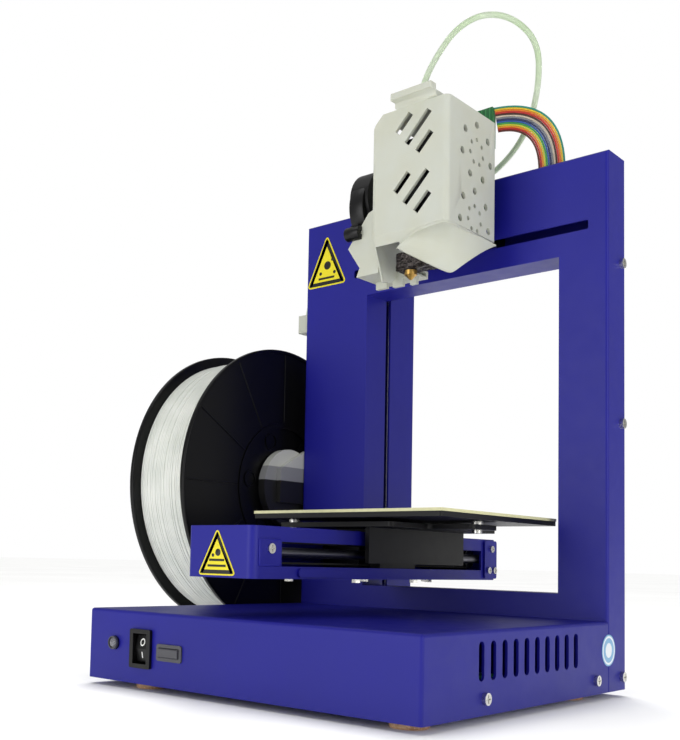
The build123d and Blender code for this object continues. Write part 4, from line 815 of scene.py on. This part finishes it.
class PRINTER_OT_winding(bpy.types.Operator):
    """Wind the filament on the spool, one turn beside the next"""
    bl_idname = "printer.winding"
    bl_label = "Wound Filament"

    def execute(self, context):
        pitch = context.scene.printer_sizes.strand
        count = int(WOUND_WIDTH / pitch)
        deselect()
        bpy.ops.mesh.primitive_torus_add(major_segments=112, minor_segments=8,
                                         major_radius=WOUND_RADIUS - pitch / 2,
                                         minor_radius=pitch * 0.56, rotation=(0, math.pi / 2, 0),
                                         location=SPOOL_MIDDLE - Vector(((count - 1) / 2 * pitch, 0, 0)))
        turn = bpy.context.object
        apply_transform()
        row_of(turn, count, (pitch, 0, 0))
        # no turn lies quite true: each wanders a little in and out and from side to side
        chance = random.Random(7)
        phase = [(chance.uniform(0, 6.28), chance.uniform(0, 6.28), chance.uniform(-0.2, 0.05) * MM)
                 for _ in range(count)]
        per_turn = len(turn.data.vertices) // count
        for vert in turn.data.vertices:
            a, b, drop = phase[min(vert.index // per_turn, count - 1)]
            angle = math.atan2(vert.co.z - SPOOL_Z, vert.co.y - SPOOL_Y)
            scale = 1 + (drop + 0.22 * MM * math.sin(2 * angle + a)) / WOUND_RADIUS
            vert.co.y = SPOOL_Y + (vert.co.y - SPOOL_Y) * scale
            vert.co.z = SPOOL_Z + (vert.co.z - SPOOL_Z) * scale
            vert.co.x += 0.16 * MM * math.sin(angle + b)
        core = disc(SPOOL_MIDDLE, WOUND_RADIUS - 1.4 * MM, WOUND_WIDTH - 1 * MM, "X", 96)
        inset_where(core, lambda c, n: abs(n.x) > 0.9, (67 * MM, 0), remove=True, use_individual=True)
        bridge(core, lambda c, n: radius_of(c) < 40 * MM)
        settle(join([turn, core]), "wound_filament", finishes["filament"], "spool", 60,
               ("filament_winding",))
        return {"FINISHED"}


class PRINTER_OT_board(bpy.types.Operator):
    """Make the perforated print board, a sheet of small holes"""
    bl_idname = "printer.board"
    bl_label = "Perforated Print Board"

    def execute(self, context):
        low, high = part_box("print_board")
        pitch = context.scene.printer_sizes.hole_pitch
        count = int((high.x - low.x) / pitch)
        deselect()
        bpy.ops.mesh.primitive_circle_add(vertices=8, radius=pitch / 2, fill_type="NGON")
        cell = bpy.context.object
        inset_where(cell, lambda c, n: True, (pitch * 0.26, 0), remove=True)
        # the octagon's slanted corners are drawn out to the square cell's own
        for vert in cell.data.vertices:
            if vert.co.length > pitch * 0.45 and abs(abs(vert.co.x) - abs(vert.co.y)) < pitch * 0.05:
                vert.co.x = math.copysign(pitch / 2, vert.co.x)
                vert.co.y = math.copysign(pitch / 2, vert.co.y)
        start_x = (low.x + high.x) / 2 - (count - 1) / 2 * pitch
        start_y = (low.y + high.y) / 2 - (count - 1) / 2 * pitch
        cell.location = (start_x, start_y, high.z)
        apply_transform()
        for offset in ((pitch, 0, 0), (0, pitch, 0)):
            row_of(cell, count, offset, 0.05 * MM)
        edit(cell)
        bpy.ops.mesh.normals_make_consistent(inside=False)
        thicken((0, 0, low.z - high.z))
        settle(cell, "perforated_board", finishes["laminate"], "bed",
               replaced=("print_board",))
        return {"FINISHED"}


class PRINTER_OT_controls(bpy.types.Operator):
    """Make the indicator's lens and ring, and the marks on the power switch"""
    bl_idname = "printer.controls"
    bl_label = "Indicator and Switch Marks"

    def execute(self, context):
        low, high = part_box("status_led")
        centre, back = (low + high) / 2, low.y + 2.2 * MM
        deselect()
        bpy.ops.mesh.primitive_uv_sphere_add(segments=24, ring_count=12, radius=3.3 * MM,
                                             location=(centre.x, back + 0.4 * MM, centre.z))
        lens = bpy.context.object
        apply_transform()
        edit(lens)
        bpy.ops.mesh.bisect(plane_co=(0, back, 0), plane_no=(0, 1, 0), use_fill=True,
                            clear_outer=True)
        leave_edit()
        for vert in lens.data.vertices:
            vert.co.y = back + (vert.co.y - back) * 0.75
        settle(lens, "indicator_lens", finishes["lens"], "frame", 40, ("status_led",))
        ring = disc((centre.x, low.y + 1.4 * MM, centre.z), 4.0 * MM, 1.6 * MM, "Y", 40)
        inset_where(ring, lambda c, n: n.y < -0.9, (0.5 * MM, 0), (0.1 * MM, -0.7 * MM))
        settle(ring, "indicator_ring", finishes["grey"], "frame", 35)

        low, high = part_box("switch_rocker")
        ahead = Vector(((low.x + high.x) / 2, low.y - 5 * MM, 0))
        mark_height, inward = (high.z - low.z) * 0.27, Vector((0, 1, 0))
        deselect()
        bpy.ops.mesh.primitive_torus_add(major_segments=24, minor_segments=6, major_radius=1.7 * MM,
                                         minor_radius=0.38 * MM)
        ring = bpy.context.object
        for vert in ring.data.vertices:
            vert.co.z *= 0.3
            vert.co.y *= 1.15
        lay_on(ring, "switch_rocker", ahead + Vector((0, 0, high.z - mark_height)), inward)
        settle(ring, "mark_off", finishes["mark"], "rocker", 40)
        bar = block((-0.4 * MM, -1.9 * MM, -0.12 * MM), (0.4 * MM, 1.9 * MM, 0.12 * MM), 0.1 * MM, 1)
        lay_on(bar, "switch_rocker", ahead + Vector((0, 0, low.z + mark_height)), inward)
        settle(bar, "mark_on", finishes["mark"], "rocker", 40)
        return {"FINISHED"}


FILM = 0.25 * MM
# shares of a triangle's width: round corners, yellow edge, black band and half the height of a bar
CORNER, EDGE, BAND, BAR = 0.1, 0.028, 0.075, 0.022


def triangle_sticker(name, centre, width, height, face_y, body, marks):
    """A thin yellow triangle with a black band and plain marks, on a wall that faces -Y."""
    sticker = flat_face([Vector((centre[0] + x * width, face_y, centre[1] + z * height))
                         for x, z in ((0, 1), (-0.5, 0), (0.5, 0))])
    edit(sticker, mode="VERT")
    bpy.ops.mesh.bevel(offset=width * CORNER, segments=5, affect="VERTICES")
    bpy.ops.mesh.select_all(action="SELECT")
    bpy.ops.mesh.normals_make_consistent(inside=False)
    thicken((0, -FILM, 0))
    for key in ("vinyl_yellow", "vinyl_ink"):
        sticker.data.materials.append(finishes[key])
    edit(sticker, lambda c, n: n.y < -0.9 and c.y < face_y - 0.9 * FILM)
    for share, index in ((EDGE, 1), (BAND, 0)):
        inset((width * share, 0))
        paint(sticker, index)
    leave_edit()
    parts = [sticker]
    for kind, x, z, size in marks:
        at = Vector((centre[0] + x * width, face_y - FILM, centre[1] + z * height))
        if kind == "dot":
            mark = disc(at, size * width, 0.1 * MM, "Y", 24, 0.03 * MM)
        elif kind == "ring":
            mark = disc(at, size * width, 0.1 * MM, "Y", 32)
            inset_where(mark, lambda c, n: n.y < -0.9, (size * width * 0.35, 0), (0.01 * MM, -0.04 * MM))
        else:
            half = Vector((size * width, 0.05 * MM, width * BAR))
            mark = block(at - half, at + half, 0.03 * MM, 1)
        mark.data.materials.append(finishes["vinyl_ink"])
        parts.append(mark)
    settle(join(parts), name, None, body, 30)


class PRINTER_OT_stickers(bpy.types.Operator):
    """Put the plain triangular stickers and the round seal on"""
    bl_idname = "printer.stickers"
    bl_label = "Stickers"

    def execute(self, context):
        triangle_sticker("portal_sticker", (-102.5 * MM, 294.5 * MM), 39 * MM, 41 * MM, 103.25 * MM,
                         "frame", (("ring", 0.02, 0.4, 0.085), ("dot", -0.15, 0.26, 0.035),
                                   ("dot", 0.2, 0.25, 0.035), ("dot", 0.14, 0.5, 0.03),
                                   ("bar", 0.0, 0.16, 0.2)))
        triangle_sticker("arm_sticker", (-17.5 * MM, 70.2 * MM), 30 * MM, 27 * MM, -98 * MM, "z_arm",
                         (("dot", 0.03, 0.48, 0.07), ("dot", -0.1, 0.42, 0.035), ("bar", 0.0, 0.32, 0.2),
                          ("bar", 0.0, 0.2, 0.24)))
        seal = disc((122.6 * MM, 103.75 * MM, 29.5 * MM), 9.6 * MM, 0.3 * MM, "X", 48, 0.08 * MM)
        for key in ("vinyl_pale_blue", "vinyl_paper"):
            seal.data.materials.append(finishes[key])
        edit(seal, lambda c, n: n.x > 0.99)
        for ring, index in ((0.8 * MM, 1), (1.2 * MM, 0), (3.0 * MM, 1)):
            inset((ring, 0))
            paint(seal, index)
        leave_edit()
        settle(seal, "round_seal", None, "frame", 30)
        return {"FINISHED"}


class PRINTER_OT_hot_end(bpy.types.Operator):
    """Wrap the heater block in crumpled foil"""
    bl_idname = "printer.hot_end"
    bl_label = "Foil-Wrapped Heater"

    def execute(self, context):
        low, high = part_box("heater_block")
        gap = Vector((0.6, 0.6, 0.6)) * MM
        wrap = block(low + gap, high - gap, 1.2 * MM)
        edit(wrap)
        bpy.ops.mesh.subdivide(number_cuts=7)
        leave_edit()
        chance = random.Random(3)
        for vert in wrap.data.vertices:
            vert.co += Vector([chance.uniform(-0.55, 0.55) for _ in range(3)]) * MM
        settle(wrap, "foil_wrapped_block", finishes["foil"], "head", 18, ("heater_block",))
        return {"FINISHED"}


# the scoop in millimetres: its upper crease, its lower edge, and what is cut away in x and z
CREASE = ((13, 29.8, 283.6), (19, 29.8, 289.8), (25, 29.8, 292.9), (35.9, 29.8, 295.0),
          (44, 29.9, 295.7), (49.3, 30.4, 295.7), (50.8, 32.5, 295.5), (50.9, 42, 295.1),
          (50.9, 58, 294.9), (50.9, 74, 294.7), (50.9, 89, 293.6))
SKIRT = ((15.2, 29.9, 282.6), (19, 33, 280), (25, 38.5, 276.2), (31, 45, 272.3), (36, 51, 269.4),
         (39, 54, 268.2), (41, 56, 269.8), (45, 60.5, 275), (48, 67, 280.4), (50, 76, 286.5),
         (50.8, 88.6, 292.4))
SCOOP_CUT = ((13.4, 283.4), (19, 289.8), (25, 292.9), (35.9, 295), (44, 295.7), (53, 295.2),
             (53, 262), (13.4, 262))
UNDERCUT = ((-5.2, 262), (-5.2, 294), (13.6, 294), (13.6, 262))
SCOOP_ROWS, SCOOP_WALL = 12, 1.8 * MM
# plain slanted vents: x, z, half length, half width
VENTS = ((17.8, 366.2, 7.5, 2.3), (28.5, 361.0, 12.5, 2.3), (33.4, 350.2, 7.5, 2.3),
         (16.8, 326.8, 7.5, 2.3), (27.5, 321.6, 12.5, 2.3), (32.4, 310.8, 7.5, 2.3))


def slanted(x, z, half_length, half_width):
    """The four corners of a slot that leans to the right."""
    along, across = Vector((0.69, 0.72)), Vector((-0.72, 0.69))
    return [(x + along.x * a * half_length + across.x * b * half_width,
             z + along.y * a * half_length + across.y * b * half_width)
            for a, b in ((-1, -1), (1, -1), (1, 1), (-1, 1))]


def prism(outline, y0, y1):
    """A closed prism along Y on an outline of x and z, all in millimetres."""
    obj = flat_face([mm(x, y0, z) for x, z in outline])
    edit(obj)
    thicken((0, (y1 - y0) * MM, 0))
    return obj


class PRINTER_OT_head_cover(bpy.types.Operator):
    """Finish the printed head cover: slanted vents in front and a concave scoop at its lower corner"""
    bl_idname = "printer.head_cover"
    bl_label = "Printed Head Cover"

    def execute(self, context):
        cover = copy_of("head_cover")
        # what the arch and the scoop take away under the crease
        cut(cover, prism(UNDERCUT, 32.3, 92))
        cut(cover, prism(SCOOP_CUT, 28, 92))
        # the front panel is set in again, with its slanted vents
        cut(cover, block(mm(4, 28, 298), mm(45, 32.4, 374)))
        panel = block(mm(4, 29.75, 298), mm(45, 32.15, 374))
        for vent in VENTS:
            cut(panel, prism(slanted(*vent), 28, 34))
        settle(join([cover, panel]), "head_cover_shell", finishes["abs"], "head", 30,
               ("head_cover",))

        # the scoop's skin, swept from the crease to the lower edge as a cove
        deselect()
        bpy.ops.mesh.primitive_grid_add(x_subdivisions=len(CREASE) - 1, y_subdivisions=SCOOP_ROWS,
                                        size=1)
        skin = bpy.context.object
        order = sorted(skin.data.vertices, key=lambda v: (round(v.co.x, 4), v.co.y))
        for i, vert in enumerate(order):
            column, row = divmod(i, SCOOP_ROWS + 1)
            top, foot = mm(*CREASE[column]), mm(*SKIRT[column])
            part = row / SCOOP_ROWS * math.pi / 2
            side, drop = math.sin(part), 1 - math.cos(part)
            vert.co = Vector((top.x + (foot.x - top.x) * side, top.y + (foot.y - top.y) * side,
                              top.z + (foot.z - top.z) * drop))
        smooth = skin.modifiers.new("smooth", "SUBSURF")
        smooth.levels = smooth.render_levels = 1
        smooth.boundary_smooth = "PRESERVE_CORNERS"
        wall = skin.modifiers.new("wall", "SOLIDIFY")
        wall.thickness, wall.offset = SCOOP_WALL, -1.0
        settle(skin, "head_cover_scoop", finishes["abs"], "head", 40)

        # a thin lip along the front of the cap, with its underside open
        cap = copy_of("head_cap")
        cut(cap, block(mm(10, 20, 375), mm(46, 27.7, 380.4)))
        cut(cap, block(mm(10, 20, 384.6), mm(46, 28.2, 388)))
        settle(cap, "head_cap_lip", finishes["abs"], "head", 30, ("head_cap",))
        return {"FINISHED"}


SCROLL_MIDDLE, SCROLL_RADIUS, SCROLL_WALL = mm(-28.5, 66, 325), 25.5 * MM, 13.5 * MM
SCROLL_RIM, BLOWER_WIDTH = 3 * MM, 12 * MM


class PRINTER_OT_blower_lug(bpy.types.Operator):
    """Make the lower bulge of the blower's scroll and its screw lug"""
    bl_idname = "printer.blower_lug"
    bl_label = "Blower Scroll and Lug"

    def execute(self, context):
        scroll = disc(SCROLL_MIDDLE, SCROLL_RADIUS, BLOWER_WIDTH, "X", 64, 1.2 * MM)
        # the outer end is dished inside its rim, the inner end is flat, and a bore joins them
        for sign, steps in ((-1, ((SCROLL_RIM, 0), (SCROLL_WALL - SCROLL_RIM, -1 * MM))),
                            (1, ((SCROLL_WALL, 0),))):
            inset_where(scroll, lambda c, n: n.x * sign > 0.99, *steps, remove=True)
        bridge(scroll, lambda c, n: (c.yz - SCROLL_MIDDLE.yz).length < 12.4 * MM)
        lug = disc(mm(-28.5, 39.6, 304.6), 4.8 * MM, BLOWER_WIDTH, "X", 32, 0.8 * MM)
        inset_where(lug, lambda c, n: abs(n.x) > 0.99, (2.6 * MM, 0), (0.1 * MM, -1.0 * MM),
                    use_individual=True)
        web = block(mm(-32, 39, 303), mm(-25, 52, 311), 1.0 * MM)
        settle(join([scroll, lug, web]), "blower_scroll", finishes["black"], "head", 35)
        return {"FINISHED"}


class PRINTER_OT_arm_tab(bpy.types.Operator):
    """Make the raised tab under the arm's side screw"""
    bl_idname = "printer.arm_tab"
    bl_label = "Arm Side Tab"

    def execute(self, context):
        tab = block(mm(9.9, -93.5, 76), mm(10.9, -75.5, 91.5), 0.5 * MM)
        inset_where(tab, lambda c, n: n.x > 0.9, (1.0 * MM, 0))
        settle(tab, "arm_side_tab", finishes["coat"], "z_arm", 35)
        return {"FINISHED"}


OPERATORS = (PRINTER_OT_stage, PRINTER_OT_finishes, PRINTER_OT_cords, PRINTER_OT_spool,
             PRINTER_OT_winding, PRINTER_OT_board, PRINTER_OT_controls, PRINTER_OT_stickers,
             PRINTER_OT_hot_end, PRINTER_OT_head_cover, PRINTER_OT_blower_lug, PRINTER_OT_arm_tab)


class PRINTER_PT_pieces(bpy.types.Panel):
    """Lists the printer's pieces, its colours and its sizes"""
    bl_idname = "PRINTER_PT_pieces"
    bl_label = "Filament Printer"
    bl_space_type = "VIEW_3D"
    bl_region_type = "UI"
    bl_category = "Printer"

    def draw(self, context):
        scene = context.scene
        for group in (scene.printer_finish, scene.printer_sizes):
            for name in group.bl_rna.properties.keys():
                if name not in ("rna_type", "name"):
                    self.layout.prop(group, name)
        for operator in OPERATORS:
            self.layout.operator(operator.bl_idname)


CLASSES = (PrinterFinish, PrinterSizes, *OPERATORS, PRINTER_PT_pieces)


def register():
    for cls in CLASSES:
        bpy.utils.register_class(cls)
    bpy.types.Scene.printer_finish = PointerProperty(type=PrinterFinish)
    bpy.types.Scene.printer_sizes = PointerProperty(type=PrinterSizes)


def unregister():
    del bpy.types.Scene.printer_sizes
    del bpy.types.Scene.printer_finish
    for cls in reversed(CLASSES):
        bpy.utils.unregister_class(cls)


def main():
    """Build every piece in order."""
    register()
    for operator in OPERATORS:
        group, name = operator.bl_idname.split(".")
        getattr(getattr(bpy.ops, group), name)()


if __name__ == "__main__":
    main()
